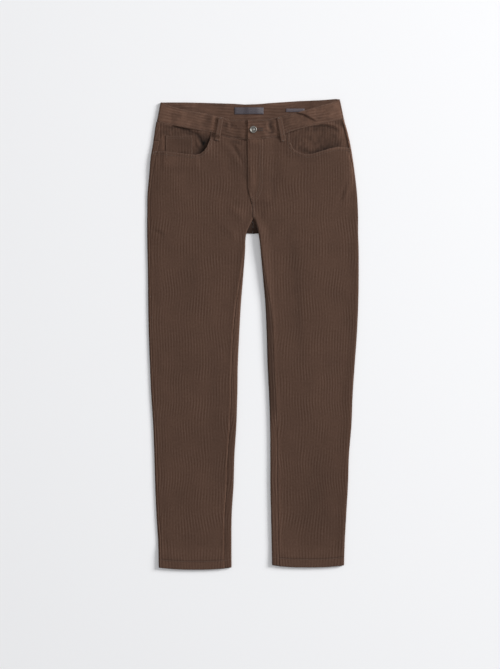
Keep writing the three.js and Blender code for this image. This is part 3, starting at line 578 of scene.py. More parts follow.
# Front panels
def row_height(leg, row, d, top_line):
    """Height up the garment of a row at distance d: rounded at the hem, warped to its top line."""
    middle = (leg.outer(row) + leg.inner(row)) / 2
    half = (leg.outer(row) - leg.inner(row)) / 2
    corner = np.clip(np.abs(d - middle) / half, 0, 1) ** 2.5
    hem = 1 - smooth(HEM_END, HEM_END + 90, row)
    warp = np.clip((row - WARP_FROM) / (HIP_TOP - WARP_FROM), 0, 1)
    return row + hem * (leg.hem_shift + HEM_ROUND * corner) + warp * (top_line - HIP_TOP)


def mouth_line(leg, d):
    """Top line of a front panel: the waistband's seam, then the pocket mouth."""
    x = leg.side * d
    seam = straight(BAND_BOTTOM_FRONT, x) + 0.5
    start = np.abs(leg.mouth[-1 if leg.side < 0 else 0, 0])
    return np.where(d > start, np.minimum(straight(leg.mouth, x), seam), seam)


def front_edges(leg, y):
    """A front's edges: at the inner seam, or above it in the middle, and at the side seam."""
    start = mix(along(INSEAM, y), FOLD_ARC, smooth(270, LEGS_JOIN, y)) + HALF_GAP
    gap_widens = ((160, 170), (218, 232))
    for bottom, top in gap_widens:
        start = start + HALF_GAP * smooth(bottom, top, y)
    opened = y < LEGS_JOIN
    low = np.where(opened, leg.inner(y) + FOLD_REACH + start - FOLD_ARC, leg.edge(y))
    if leg is LEFT:
        flap = smooth(FLAP_LOW, FLAP_FLAT, y) * opened
        low = mix(low, straight(CROTCH_SEAM, y), flap)
    high = leg.outer(y) - FOLD_REACH - (leg.outseam(y) + HALF_GAP - FOLD_ARC)
    return low, high


def skin(leg, u, y, lift, sink):
    """Outer and inner points of a front, rolled down past the folds' tangents.

    lift raises the whole cloth, and sink is taken off its outer side.
    """
    t_in, t_out = leg.inner(y) + FOLD_REACH, leg.outer(y) - FOLD_REACH
    rolls_in, rolls_out = (u < t_in) & (y < LEGS_JOIN), u > t_out
    d = np.where(rolls_in, t_in, np.where(rolls_out, t_out, u))
    z = surface_height(leg, d, y) + lift(d, y)
    past = np.where(rolls_in, t_in - u, np.where(rolls_out, u - t_out, 0))
    arc = np.maximum(FOLD_ARC - past, 0)
    outer, inner = rolled(leg, d, y, z, arc, np.where(rolls_in, -1, 1), sink)
    if leg is LEFT:
        flap = (smooth(FLAP_LOW, FLAP_FLAT, y) * rolls_in)[:, None]
        outer = mix(outer, np.stack([u, y, z - sink], 1), flap)
        inner = mix(inner, np.stack([u, y, z - wall_at(y)], 1), flap)
    return outer, inner


def rolled(leg, d, y, z, arc, outward, sink):
    """Points at an arc round a fold, from its bottom at 0 to its top, beyond which it is level."""
    angle = math.pi * (np.minimum(arc, FOLD_ARC) / FOLD_ARC - 0.5)
    half, wall = z / 2, wall_at(y)
    outer_x = d + outward * FOLD_REACH * np.cos(angle) * (1 - sink / FOLD_REACH)
    outer_z = half + (half - sink) * np.sin(angle)
    inner_x = d + outward * (FOLD_REACH - wall) * np.cos(angle)
    inner_z = half + (half - wall) * np.sin(angle)
    outer = np.stack([leg.side * outer_x, y, outer_z], 1)
    return outer, np.stack([leg.side * inner_x, y, inner_z], 1)


def row_list(top):
    """Heights of a leg's rows: close together at the hip and the hem, and wider apart between."""
    hip_low, hem_top = 230, -478
    spans = ((top, hip_low, 4.4), (hip_low, hem_top, 9.5), (hem_top, HEM_END, 2.6))
    return np.concatenate([*(np.arange(high, low, -step) for high, low, step in spans), [HEM_END]])


def settled_edges(edges, height, starts, *rows):
    """Low and high edge of each row, each at its own height up the garment.

    edges(y) gives both at a height, and height(u, *row) is how high a row is at u.
    """
    settled = []
    for start, *row in zip(starts, *rows):
        ends = []
        for side in (0, 1):
            u = edges(np.array([float(start)]))[side]
            for _ in range(SETTLING_ROUNDS):
                u = edges(height(u, *row))[side]
            ends.append(float(u[0]))
        settled.append(ends)
    return np.array(settled)


def area_of(edges, rows):
    return float(np.sum((edges[1:, 1] - edges[1:, 0]) * np.abs(np.diff(rows)))) * MM * MM


def edge_sink(away):
    """How much cloth is rounded off near an edge."""
    return 0.5 * np.exp(-np.clip(away, 0, None) / 0.7)


def stitch_dent(away, at):
    return 0.3 * bell(away, at, 0.7)


def front_panel(leg, lift):
    def height(d, row):
        return row_height(leg, row, d, mouth_line(leg, d))

    rows = row_list(HIP_TOP)
    edges = settled_edges(lambda y: front_edges(leg, y), height, rows, rows)
    panel = Panel(edges)
    u = panel.u
    d = np.clip(u, -50, 300)
    y = height(d, rows[panel.row])
    low, high = front_edges(leg, y)
    mouth_away, _ = path_distance(leg.side * d, y, leg.mouth)
    by_mouth = d > leg.mouth_from
    top_away = mouth_line(leg, d) - y + 9
    top_away = np.where(by_mouth, np.clip(mouth_away, 0, 40), top_away)
    hem_away = y - row_height(leg, HEM_END, d, HIP_TOP)
    sink = RELIEF * (1 - ribs(u))
    for away in (np.minimum(u - low, high - u), top_away, hem_away):
        sink = sink + edge_sink(away)
    for at in MOUTH_STITCHES:
        sink = sink + stitch_dent(mouth_away, at) * by_mouth
    sink = sink + stitch_dent(hem_away, HEM_STITCH)
    turned_in = np.where(by_mouth, 0.45 * smooth(8.5, 6.5, mouth_away), 0)
    seam_ridge = 0.35 * bell(u - low, 3.4, 2.2) * (y < 318)

    def raised(d, y):
        return lift(d, y) + turned_in + seam_ridge

    outer, inner = skin(leg, u, y, raised, np.minimum(sink, MOST_SINK))
    # Painted shade in a line at the hem's top edge, by its stitches, and painted light on the hem below it.
    hem_shade_line = 0.06 * smooth(18, 15, hem_away) - 0.3 * bell(hem_away, 20, 1.6)
    made = cloth_object("front_panel_" + leg.name, panel, outer, inner, y, front_pile_and_shading(leg, d, y) + hem_shade_line)
    return made, area_of(edges, rows)


def front_pile_and_shading(leg, d, y):
    """Painted shade and light: soft darker and lighter marks, and a lighter line along the right leg's inner
    seam, over slightly uneven pile.
    """
    x = leg.side * d
    tone = 1 + crease_height(x, y, LEG_SHADING_MARKS)
    if leg is RIGHT:
        # Painted light along the right leg's inner seam, over the shade of its groove.
        seam_away = d - leg.inner(y) - FOLD_REACH - along(INSEAM, y) + FOLD_ARC
        tone = tone + 0.28 * bell(seam_away, 1.4, 4) * smooth(RIDGE_TOP, 160, y)
    return np.clip(tone + 0.03 * soft_noise(x, y, 33, 21) + 0.03 * soft_noise(x, y, 12, 22), 0.5, 1.5)


# Back panels and yokes
def back_edges(leg, y):
    """A back's edges: at the inner seam, or above the crotch in the middle, and at the side seam."""
    low = np.where(y > CROTCH, HALF_GAP, leg.inner(y) + FOLD_REACH - (along(INSEAM, y) - HALF_GAP))
    high = leg.outer(y) - FOLD_REACH + leg.outseam(y) - HALF_GAP
    return low, high


def back_skin(leg, u, y, sink):
    """Points of the back: flat below, then round the folds and on top as far as the seams."""
    no_fold = -999
    t_in = np.where(y > CROTCH, no_fold, leg.inner(y) + FOLD_REACH)
    t_out = leg.outer(y) - FOLD_REACH
    at_in, at_out = u < t_in, u > t_out
    arc = np.where(at_in, t_in - u, np.where(at_out, u - t_out, 0.0))
    over = np.maximum(arc - FOLD_ARC, 0)
    d = np.where(at_in, t_in + over, np.where(at_out, t_out - over, u))
    outer, inner = rolled(leg, d, y, surface_height(leg, d, y), arc, np.where(at_in, -1, 1), sink)
    flat = ~(at_in | at_out)
    for points, rise in ((outer, sink), (inner, wall_at(y))):
        points[:, 0] = np.where(flat, leg.side * d, points[:, 0])
        points[:, 2] = np.where(flat, back_lift(d, y) + rise, points[:, 2])
    return outer, inner


def wrap_distance(leg, u, y):
    """Distance from the middle line of a point of the back, at coordinate u."""
    t_out = leg.outer(y) - FOLD_REACH
    return np.where(u > t_out, t_out - np.maximum(u - t_out - FOLD_ARC, 0), u)


def back_panel(leg):
    def height(u, row, part):
        """Rows run level up to BACK_LEVEL, and above it they lean to the yoke's seam by their part."""
        d = wrap_distance(leg, u, row)
        yoke = straight(YOKE_SEAM, leg.side * np.clip(d, 0, YOKE_REACH)) - HALF_GAP
        level_row = row_height(leg, np.minimum(row, BACK_LEVEL), d, HIP_TOP)
        return np.where(part > 0, mix(BACK_LEVEL, yoke, part), level_row)

    rows = np.append(row_list(BACK_LEVEL), [CROTCH + 0.6, CROTCH - 0.6])
    rows = np.sort(rows)[::-1]
    above = np.linspace(1, 0, 9)[:-1]
    parts = np.concatenate([above, np.zeros(len(rows))])
    rows = np.concatenate([np.full(len(above), BACK_LEVEL), rows])
    edges = settled_edges(lambda y: back_edges(leg, y), height, rows, rows, parts)
    panel = Panel(edges)
    u = panel.u
    y = height(u, rows[panel.row], parts[panel.row])
    low, high = back_edges(leg, y)
    seam_away = np.minimum(u - low, high - u)
    hem_away = y - row_height(leg, HEM_END, wrap_distance(leg, u, y), HIP_TOP)
    t_in, t_out = leg.inner(y) + FOLD_REACH, leg.outer(y) - FOLD_REACH
    ridged = (u > t_out + FOLD_ARC) | ((u < t_in - FOLD_ARC) & (leg is LEFT))
    ridge = 0.5 * bell(seam_away, 3.0, 2.4) * ridged * (y < RIDGE_TOP)
    sink = RELIEF * (1 - ribs(u)) + edge_sink(seam_away) + edge_sink(hem_away)
    sink = sink + stitch_dent(hem_away, HEM_STITCH) - ridge
    outer, inner = back_skin(leg, u, y, np.clip(sink, -0.6, MOST_SINK))
    x = outer[:, 0]
    # Painted shade and light: the back seen between the fronts above the crotch is painted darker, most near
    # the crotch and towards the left leg; below it the strip round the inner fold is painted darker on the
    # left leg and lighter on the right, and the left leg's side at the outer fold lighter, most at the hip.
    web = smooth(34, 22, np.abs(x)) * (y > CROTCH)
    shadow = web * (0.3 + 0.3 * smooth(268, 236, y) + 0.12 * smooth(4, 14, x))
    strip = smooth(1, 3, t_in - u) * (y < CROTCH) * plateau(y, -150, 110, 70)
    hip = (leg is LEFT) * (0.1 + 0.4 * smooth(300, 400, y)) * (u > t_out)
    pile_and_shading = 1 - shadow + (-0.34 if leg is LEFT else 0.22) * strip + hip
    droop = 2.2 * np.clip(1 - (x / 16) ** 2, 0, 1) * smooth(CROTCH + 12, CROTCH, y) * (y > CROTCH)
    outer[:, 1] -= droop
    inner[:, 1] -= droop
    made = cloth_object("back_panel_" + leg.name, panel, outer, inner, y, pile_and_shading)
    return made, area_of(edges, height(np.full(len(rows), 120.0), rows, parts))


def back_yoke(leg):
    def height(u, part):
        y = np.full(np.shape(u), YOKE_MIDDLE)
        for _ in range(SETTLING_ROUNDS):
            x = leg.side * np.clip(wrap_distance(leg, u, y), 0, YOKE_REACH)
            on_top = u > leg.outer(y) - FOLD_REACH + FOLD_ARC / 2
            band = np.where(on_top, straight(BAND_BOTTOM_FRONT, x), straight(BAND_BOTTOM_BACK, x)) - GAP
            y = mix(straight(YOKE_SEAM, x) + HALF_GAP, band, part)
        return y

    parts = np.linspace(1, 0, 14)
    edges = settled_edges(lambda y: back_edges(leg, y), height, np.full(len(parts), YOKE_MIDDLE), parts)
    panel = Panel(edges)
    u = panel.u
    y = height(u, parts[panel.row])
    low, high = back_edges(leg, y)
    sink = RELIEF * (1 - ribs(u)) + edge_sink(np.minimum(u - low, high - u))
    outer, inner = back_skin(leg, u, y, np.minimum(sink, MOST_SINK))
    # Painted light on the left yoke where it wraps round the outer fold.
    pile_and_shading = 1 + 0.6 * (leg is LEFT) * (u > leg.outer(y) - FOLD_REACH)
    made = cloth_object("back_yoke_" + leg.name + "_cloth", panel, outer, inner, y, pile_and_shading)
    return made, float(np.mean(edges[:, 1] - edges[:, 0])) * YOKE_DEPTH * MM * MM


# Patches and facings: upright columns between a lower and an upper line
def patch(name, x_low, x_high, low_line, high_line, count, height, thick, step=WALE / 2, ribbed=True,
          pile_and_shading=lambda x, y: 1.0):
    rows = np.linspace(1, 0, count)
    panel = Panel([(x_low, x_high)] * count, step)
    x = panel.u
    y = mix(low_line(x), high_line(x), rows[panel.row])
    away = np.minimum(np.minimum(x - x_low, x_high - x), np.minimum(y - low_line(x), high_line(x) - y))
    sink = edge_sink(away) * 0.8 + (RELIEF * (1 - ribs(x)) if ribbed else 0)
    z = height(x, y)
    outer = np.stack([x, y, z - sink], 1)
    inner = np.stack([x, y, z - thick], 1)
    return cloth_object(name, panel, outer, inner, y, pile_and_shading(x, y))


def pocket_facing(leg, creases, shading_marks):
    side = leg.side
    # Painted shade along the pocket mouth, where the facing lies in the gape: deeper and wider on the right
    # pocket.
    shade_depth, shade_width = (0.66, 15) if leg is RIGHT else (0.2, 9)

    def reach(y):
        return leg.outer(y) - FOLD_REACH - (leg.outseam(y) - FOLD_ARC)

    def top(x):
        """The facing ends under the side seam, which leans in towards the waistband."""
        ys = np.linspace(FACING_LOWEST, 494, 60)
        limits = reach(ys) + 1.8
        lean = np.interp(-np.abs(x), -np.maximum.accumulate(limits[::-1])[::-1], ys)
        return np.maximum(np.minimum(straight(BAND_BOTTOM_FRONT, x) + 0.4, lean), FACING_LOWEST + 2)

    def height(x, y):
        d = side * x
        dip = crease_height(x, y, creases) + 0.25 * soft_noise(x, y, 17, 31)
        shown = smooth(*FACING_SHOWN, y) * smooth(90, 104, d)
        tucked = 1.3 * smooth(13, 2, straight(BAND_BOTTOM_FRONT, x) - y)
        return surface_height(leg, d, y) - LAYER + (np.clip(dip, -1.3, 2.2) + tucked) * shown

    # Part of the facing that the mouth's painted shade reaches.
    def hollow(x, y):
        if leg is RIGHT:
            return smooth(-146, -118, x) * smooth(462, 446, y)
        return smooth(110, 150, x)

    # The facing's tone: painted shade along the mouth, painted shade and light from its marks at the
    # creases, and uneven pile.
    def pile_and_shading(x, y):
        away, _ = path_distance(x, y, leg.mouth)
        tone = 1 - shade_depth * bell(away, 0, shade_width) * hollow(x, y)
        uneven = 0.17 * soft_noise(x, y, 8, 33) + 0.12 * soft_noise(x, y, 4.5, 34)
        return tone + crease_height(x, y, shading_marks) + uneven

    ends = sorted((side * FACING_INNER, side * (reach(FACING_LOWEST) + 1.5)))
    name = "pocket_facing_" + leg.name + "_cloth"
    return patch(name, *ends, level(FACING_LOWEST), top, 30, height, CLOTH, pile_and_shading=pile_and_shading)


def coin_pocket():
    low, high = -COIN["outer"], -COIN["inner"]

    def top(x):
        return COIN["top"] - 0.0012 * (x - low) * (high - x)

    def height(x, y):
        edge = 0.35 * smooth(6, 4.5, COIN["top"] - y)
        dip = np.clip(crease_height(x, y, RIGHT_FACING_CREASES), 0, 0.8) * smooth(*FACING_SHOWN, y)
        return surface_height(RIGHT, -x, y) - LAYER + GAP + PATCH + edge + dip

    # Painted shade and light from the coin pocket's marks.
    def pile_and_shading(x, y):
        return 1 + crease_height(x, y, COIN_MARKS)

    return patch("coin_pocket_cloth", low, high, level(COIN["bottom"]), top, 24, height, PATCH, pile_and_shading=pile_and_shading)


def back_pocket(leg):
    inner, outer, side = BACK_POCKET["inner"], BACK_POCKET["outer"], BACK_POCKET["side"]
    middle = leg.side * (inner + outer) / 2

    def low(x):
        part = 1 - np.abs(x - middle) / ((outer - inner) / 2)
        return side - (side - BACK_POCKET["point"]) * part

    ends = sorted((leg.side * inner, leg.side * outer))
    name = "back_pocket_" + leg.name + "_cloth"
    made = patch(name, *ends, low, level(BACK_POCKET["top"]), 30, level(PATCH), PATCH)
    turned_down = np.array([v.co[:] for v in made.data.vertices])
    turned_down[:, 2] = PATCH * MM - turned_down[:, 2]
    made.data.vertices.foreach_set("co", turned_down.ravel())
    made.data.flip_normals()
    return made


# Waistband
def band_back_lift(x):
    return sum(BACK_LOOP_LIFT * plateau(x, p - 9, p + 9, 13) for p in BACK_LOOP_PLACES)


def band_front_lift(x):
    over = [BACK_LOOP_LIFT * plateau(x, p - 23, p + 23, 18) for p in BACK_LOOP_PLACES]
    return np.maximum.reduce([*over, 0.9 * plateau(x, 76, 126, 14)])


def band_under_top(x):
    return 2 * BAND_CLOTH + GAP + band_front_lift(x)


def band_over_top(x):
    return band_under_top(x) + (BAND_CLOTH + GAP) * (1 - smooth(29, 46, x))


BAND_FOLD = table((95, 509.6), (107, 507.4), (119, 504.2), (132, 496.8), (145, 489.5))


def band_fold_side(x, y):
    """Distance above the slanting fold beside the left pocket, and its fade at the ends."""
    line = straight(BAND_FOLD, x)
    return (y - line) * 0.87, smooth(88, 104, x) * (1 - smooth(138, 152, x))


def band_fold_step(x, y):
    """The side of the band stands proud past the fold."""
    above, fade = band_fold_side(x, y)
    return 2.6 * smooth(-0.6, 0.8, above) * np.exp(-np.maximum(above, 0) / 22) * fade


def band_pile_and_shading(x, y, kind):
    """How light the band is painted: painted shade and light at its creases, loops and fold, lighter towards
    its ends, over uneven pile.
    """
    if kind == "back":
        uneven = 0.08 * soft_noise(x, y, 13, 25) + 0.06 * soft_noise(x, y, 5, 27)
        return 0.98 + crease_height(x, y, BACK_BAND_MARKS) + uneven
    above, fade = band_fold_side(x, y)
    shadow = -0.34 * bell(above, -0.9, 1.3) * fade if kind == "over" else 0
    ends = 0.34 * smooth(80, 200, np.abs(x)) + 0.3 * smooth(184, 208, x)
    uneven = 0.16 * soft_noise(x, y, 11, 24) + 0.13 * soft_noise(x, y, 4.6, 26)
    return 0.93 + ends + shadow + crease_height(x, y, BAND_MARKS) + uneven


def band_place(x, part):
    """Place across at a part of the band's width: the top is shorter, so its ends lean inwards."""
    low, high = (
        np.where(x < 0, abs(rows[0, 0]), abs(rows[-1, 0])) for rows in (BAND_BOTTOM_FRONT, BAND_TOP_FRONT)
    )
    beyond = np.maximum(np.abs(x) - BAND_STRAIGHT, 0) / (low - BAND_STRAIGHT)
    return x - np.sign(x) * beyond * (low - high) * part


def band_stations():
    """Kinds and places of the band's cross-sections, from the right end under the fly."""
    turn = np.linspace(math.pi / 2, -math.pi / 2, 13)
    stations = [("under", x, 0) for x in np.arange(BAND_UNDER_END, -216, -2.6)]
    stations += [("fold", -1, a) for a in turn]
    stations += [("back", x, 0) for x in np.arange(-216, 206, 3.4)]
    stations += [("fold", 1, a) for a in turn[::-1]]
    stations += [("over", x, 0) for x in np.append(np.arange(205, FLY_EDGE, -2.6), FLY_EDGE)]
    return stations


def band_turn(side, angle, parts, sink):
    """Outer and inner points of a cross-section in the fold at one side of the band."""
    end = 0 if side < 0 else -1
    low, high = BAND_BOTTOM_FRONT[end], BAND_TOP_FRONT[end]
    line, y = mix(low[0], high[0], parts), mix(low[1], high[1], parts)
    half = BAND_CLOTH + HALF_GAP

    def bent(reach, rise):
        x = line - side * (BAND_FOLD_REACH - reach * math.cos(angle))
        return np.stack([x, y, half + rise * math.sin(angle) * np.ones(len(parts))], 1)

    return bent(BAND_FOLD_REACH - sink, half - sink), bent(BAND_FOLD_REACH - BAND_CLOTH, HALF_GAP)


def waistband():
    """Closed strip of two layers: a grid of rows across the band and stations along it."""
    stations = band_stations()
    count = BAND_ROWS
    parts = np.linspace(1, 0, count)
    outer = np.zeros((count, len(stations), 3))
    inner = np.zeros((count, len(stations), 3))
    pile_and_shading = np.ones((count, len(stations)))
    edge = np.minimum(parts, 1 - parts) * BAND_WIDTH
    rounding = 1.0 - np.sqrt(np.clip(1 - np.clip(1 - edge / 1.1, 0, 1) ** 2, 0, 1))
    rib_sink = RELIEF * (np.arange(count) % 2) * (edge > 1.2)
    sink = np.clip(rounding + rib_sink + stitch_dent(edge, BAND_STITCH), 0, 1.1)
    pressed = 1.1 * bell(parts * BAND_WIDTH, 0, 3.2)
    soft = smooth(0, 5, edge)
    for k, (kind, place, angle) in enumerate(stations):
        if kind == "fold":
            outer[:, k], inner[:, k] = band_turn(place, angle, parts, sink)
            continue
        x = band_place(np.full(count, float(place)), parts)
        rows = (BAND_BOTTOM_BACK, BAND_TOP_BACK) if kind == "back" else (BAND_BOTTOM_FRONT, BAND_TOP_FRONT)
        y = mix(straight(rows[0], place), straight(rows[1], x), parts)
        pile_and_shading[:, k] = band_pile_and_shading(x, y, kind)
        if kind == "back":
            z = band_back_lift(x)
            uneven = 0.21 * soft_noise(x, y, 21, 8) * smooth(0, 6, edge)
            outer[:, k] = np.stack([x, y, z + sink], 1)
            inner[:, k] = np.stack([x, y, z + BAND_CLOTH - sink * 0.9 + uneven], 1)
            continue
        rise = np.maximum(crease_height(x, y, BAND_CREASES), -0.9) + 0.3 * soft_noise(x, y, 17, 9)
        rise = rise * soft + BAND_PUFF
        if kind == "over":
            shown = 1
            z = band_over_top(x) + rise + band_fold_step(x, y)
        else:
            shown = smooth(-14, -24, x)
            z = band_under_top(x) + rise * shown
        outer[:, k] = np.stack([x, y, z - sink - pressed * shown], 1)
        inner[:, k] = np.stack([x, y, z - BAND_CLOTH + rounding * 0.6], 1)
    steps = np.hypot(*(np.diff(outer[count // 2], axis=0)[:, :2]).T)
    runs = np.concatenate([[0], np.cumsum(steps)])
    points = np.concatenate([outer.reshape(-1, 3), inner.reshape(-1, 3)])
    faces = face_out(points, grid_faces(count, len(stations)))
    wale = np.repeat(np.arange(count) / 2.0, len(stations))
    values = {"wale": np.tile(wale, 2), "run": np.tile(runs, 2 * count), "pile_and_shading": np.tile(pile_and_shading.ravel(), 2)}
    length = float(runs[-1])
    return make_object("waistband_cloth", points, faces, values), length * BAND_WIDTH * MM * MM, length


def grid_faces(rows, columns):
    """Faces of a wall of two grids of points, the second under the first."""
    r, c = np.meshgrid(np.arange(rows - 1), np.arange(columns - 1), indexing="ij")
    a = (r * columns + c).ravel()
    quads = np.stack([a, a + 1, a + columns + 1, a + columns], 1)
    n = rows * columns
    faces = quads.tolist() + (quads[:, ::-1] + n).tolist()
    left = np.arange(rows - 1) * columns
    right = left + columns - 1
    bottom = np.arange(columns - 1)
    top = bottom + (rows - 1) * columns
    faces += np.stack([left, left + columns, left + columns + n, left + n], 1).tolist()
    faces += np.stack([right + columns, right, right + n, right + columns + n], 1).tolist()
    faces += np.stack([bottom + 1, bottom, bottom + n, bottom + 1 + n], 1).tolist()
    faces += np.stack([top, top + 1, top + 1 + n, top + n], 1).tolist()
    return faces


def tube_faces(rings, sides):
    """Faces of a closed tube of rings, with flat ends."""
    faces = []
    for low in range(0, (rings - 1) * sides, sides):
        for s in range(sides):
            t = (s + 1) % sides
            faces.append([low + s, low + t, low + sides + t, low + sides + s])
    faces.append(list(range(sides))[::-1])
    faces.append([(rings - 1) * sides + s for s in range(sides)])
    return faces


def belt_loop(name, top, low):
    """Folded strip lying over the band, arched between its sewn ends."""
    top, low = np.array([*top, 0.0]), np.array([*low, 0.0])
    length = float(np.hypot(*(low - top)[:2]))
    way = (low - top) / length
    across = np.array([-way[1], way[0], 0])
    stations = np.linspace(0, 1, 34)
    half = LOOP_WIDTH / 2
    section = rounded_strip(half, LOOP_CLOTH, 22)
    points, wale, run = [], [], []
    for part in stations:
        middle = mix(top, low, part)
        on_band = max(float(band_over_top(middle[0] + s * half)) for s in (-1, 0, 1)) + GAP + 0.2
        base = mix(on_band, BAND_RISE + GAP + 0.3, float(smooth(0.74, 0.9, part)))
        arch = 0.3 * float(plateau(part, 0.25, 0.62, 0.16))
        ends = 1 - 0.35 * float(1 - smooth(0, 0.035, min(part, 1 - part)))
        for u, v in section:
            z = base + arch + (v * ends if v > LOOP_CLOTH / 2 else v)
            if v > LOOP_CLOTH * 0.6:
                z -= 0.12 * (1 - abs(2 * ((u / WALE) % 1) - 1)) + 0.22 * bell(abs(u), half - 2.0, 0.6)
            points.append(middle + across * u + np.array([0, 0, z]))
            wale.append(u / WALE)
            run.append(part * length)
    faces = face_out(points, tube_faces(len(stations), len(section)))
    return make_object(name, points, faces, {"wale": wale, "run": run, "pile_and_shading": np.ones(len(wale))})


def rounded_strip(half, thick, across):
    """Outline of a strip's cross-section, flat with round sides: (along, up) pairs."""
    r = thick / 2
    flat = np.linspace(-(half - r), half - r, across)
    side = [(half - r + r * math.sin(a), r * math.cos(a)) for a in (0.5, 1.05, 1.57, 2.09, 2.6)]
    top = [(u, thick) for u in flat]
    right = [(u, r + rise) for u, rise in side]
    bottom = [(u, 0.0) for u in flat[::-4]]
    left = [(-u, r - rise) for u, rise in side]
    return top + right + bottom + left


def back_loop(place, name):
    low, high = float(straight(BAND_BOTTOM_BACK, place)) + 1.5, float(straight(BAND_TOP_BACK, place)) - 1.5
    ends = (place - LOOP_WIDTH / 2, place + LOOP_WIDTH / 2)
    return patch(name, *ends, level(low), level(high), 14, level(BACK_LOOP_CLOTH), BACK_LOOP_CLOTH)


def turned(name, profile, centre, sides=48):
    """Solid turned about an upright axis through centre, from (radius, height) pairs."""
    points = []
    for radius, z in profile:
        reach = max(radius, 0.001)
        for k in range(sides):
            a = 2 * math.pi * k / sides
            points.append((centre[0] + reach * math.cos(a), centre[1] + reach * math.sin(a), z))
    return make_object(name, points, face_out(points, tube_faces(len(profile), sides)))


def button_head():
    foot = float(band_under_top(BUTTON[0])) + GAP
    seat = float(band_over_top(BUTTON[0])) + GAP + BAND_PUFF
    shank = [(0, foot), (1.6, foot), (1.6, seat)]
    head = (
        (6.9, 0), (7.6, 0.25), (7.95, 0.7), (8.0, 1.0), (7.85, 1.4), (7.4, 1.75), (6.9, 1.85), (6.4, 1.72),
        (5.7, 1.3), (4.9, 0.86), (4.3, 0.66), (3.6, 0.6), (3.0, 0.7), (2.6, 0.95), (2.1, 1.2), (1.4, 1.34),
        (0.7, 1.38), (0, 1.38),
    )
    return turned("button_metal_head", shank + [(radius, seat + rise) for radius, rise in head], BUTTON)


def label(name, x_low, x_high, y_low, y_high):
    def height(x, y):
        away = np.minimum(np.minimum(x - x_low, x_high - x), np.minimum(y - y_low, y_high - y))
        puff = 0.4 * smooth(0, 6, away) * (0.8 + 0.2 * soft_noise(x, y, 12, 12))
        return band_back_lift(x) + BAND_CLOTH + GAP + LABEL_CLOTH + puff

    ends = (level(y_low), level(y_high))
    return patch(name, x_low, x_high, *ends, 12, height, LABEL_CLOTH, LABEL_STEP, False)


# Sewing
THREAD = 0.34             # half width of a stitch
STEEPEST_STITCH = 1.2     # no stitch is laid where the cloth steps up by more than this
SPINDLE = ((0, 0.35, -0.15), (0.22, 1, 0.1), (0.78, 1, 0.1), (1, 0.35, -0.15))


def stitch_points(path, pitch, length):
    """Ends of stitches along a path of [x, y] points: (a, b) pairs."""
    path = np.asarray(path, dtype=float)
    steps = np.hypot(*np.diff(path, axis=0).T)
    place = np.concatenate([[0], np.cumsum(steps)])
    starts = np.arange(0, place[-1] - length, pitch)

    def at(s):
        return np.stack([np.interp(s, place, path[:, 0]), np.interp(s, place, path[:, 1])], 1)

    return zip(at(starts), at(starts + length))


class Surface:
    """The made cloth, for laying stitches on."""

    def __init__(self, objects):
        points, faces = [], []
        for o in objects:
            start = len(points)
            points += [v.co for v in o.data.vertices]
            faces += [[v + start for v in p.vertices] for p in o.data.polygons]
        self.tree = BVHTree.FromPolygons(points, faces)

    def height(self, x, y, sign):
        """Height of the cloth from above, or from below for a negative sign, and None beside it."""
        hit = self.tree.ray_cast(Vector((x * MM, y * MM, sign * 0.1)), Vector((0, 0, -sign)))[0]
        return None if hit is None else hit.z / MM


def sew(name, paths, surface, pitch=3.1, length=2.5, sign=1, finish=None):
    """One mesh of many small stitches, each a spindle sunk a little into the cloth."""
    points, faces = [], []
    for a, b in (ends for path in paths for ends in stitch_points(path, pitch, length)):
        za, zb = surface.height(*a, sign), surface.height(*b, sign)
        if za is None or zb is None or abs(za - zb) > STEEPEST_STITCH:
            continue
        way = (b - a) / np.hypot(*(b - a))
        across = np.array([-way[1], way[0]])
        for part, wide, rise in SPINDLE:
            c = mix(a, b, part)
            z = mix(za, zb, part) + sign * rise
            z = max(z, THREAD) if sign < 0 else z
            for s, t in ((1, 0), (0, 1), (-1, 0), (0, -1)):
                p = c + across * s * THREAD * wide
                points.append((p[0], p[1], z + t * THREAD * wide))
        n = len(points) - 16
        faces += [[v + n for v in face] for face in tube_faces(4, 4)]
    dress(make_object(name, points, faces), THREAD_FINISH if finish is None else finish)


def offset_path(path, away):
    """Path moved sideways, to its left for a positive distance."""
    path = np.asarray(path, dtype=float)
    d = np.gradient(path, axis=0)
    n = np.stack([-d[:, 1], d[:, 0]], 1) / np.hypot(d[:, 0], d[:, 1])[:, None]
    return path + n * away


def curve_path(rows, low, high, shift):
    x = np.linspace(low, high, 160)
    return np.stack([x, straight(rows, x) + shift], 1)


# Materials
def put(tree, value, socket):
    """Links an output to a socket, or sets the socket's value."""
    if isinstance(value, bpy.types.NodeSocket):
        tree.links.new(value, socket)
    else:
        socket.default_value = (*value, 1) if isinstance(value, tuple) else value


def node(tree, kind, inputs, output=0, **settings):
    """An output of a new node with these inputs and settings."""
    made = tree.nodes.new("ShaderNode" + kind)
    for key, value in settings.items():
        setattr(made, key, value)
    for key, value in inputs.items():
        put(tree, value, made.inputs[key])
    return made.outputs[output]


def maths(tree, operation, *values, clamp=False):
    return node(tree, "Math", dict(enumerate(values)), operation=operation, use_clamp=clamp)


def mixed(tree, factor, a, b, blend="MIX"):
    return node(tree, "Mix", {0: factor, 6: a, 7: b}, 2, data_type="RGBA", blend_type=blend)


def attribute(tree, name):
    return node(tree, "Attribute", {}, "Fac", attribute_name=name)


def noise(tree, vector, scale, detail=2.0, rough=0.5):
    inputs = {"Vector": vector, "Scale": scale, "Detail": detail, "Roughness": rough}
    return node(tree, "TexNoise", inputs, "Fac")


def weave_of(tree, place, scale, distortion):
    return node(tree, "TexWave", {"Vector": place, "Scale": scale, "Distortion": distortion}, "Fac")


def bump(tree, height, strength, distance):
    return node(tree, "Bump", {"Height": height, "Strength": strength, "Distance": distance})


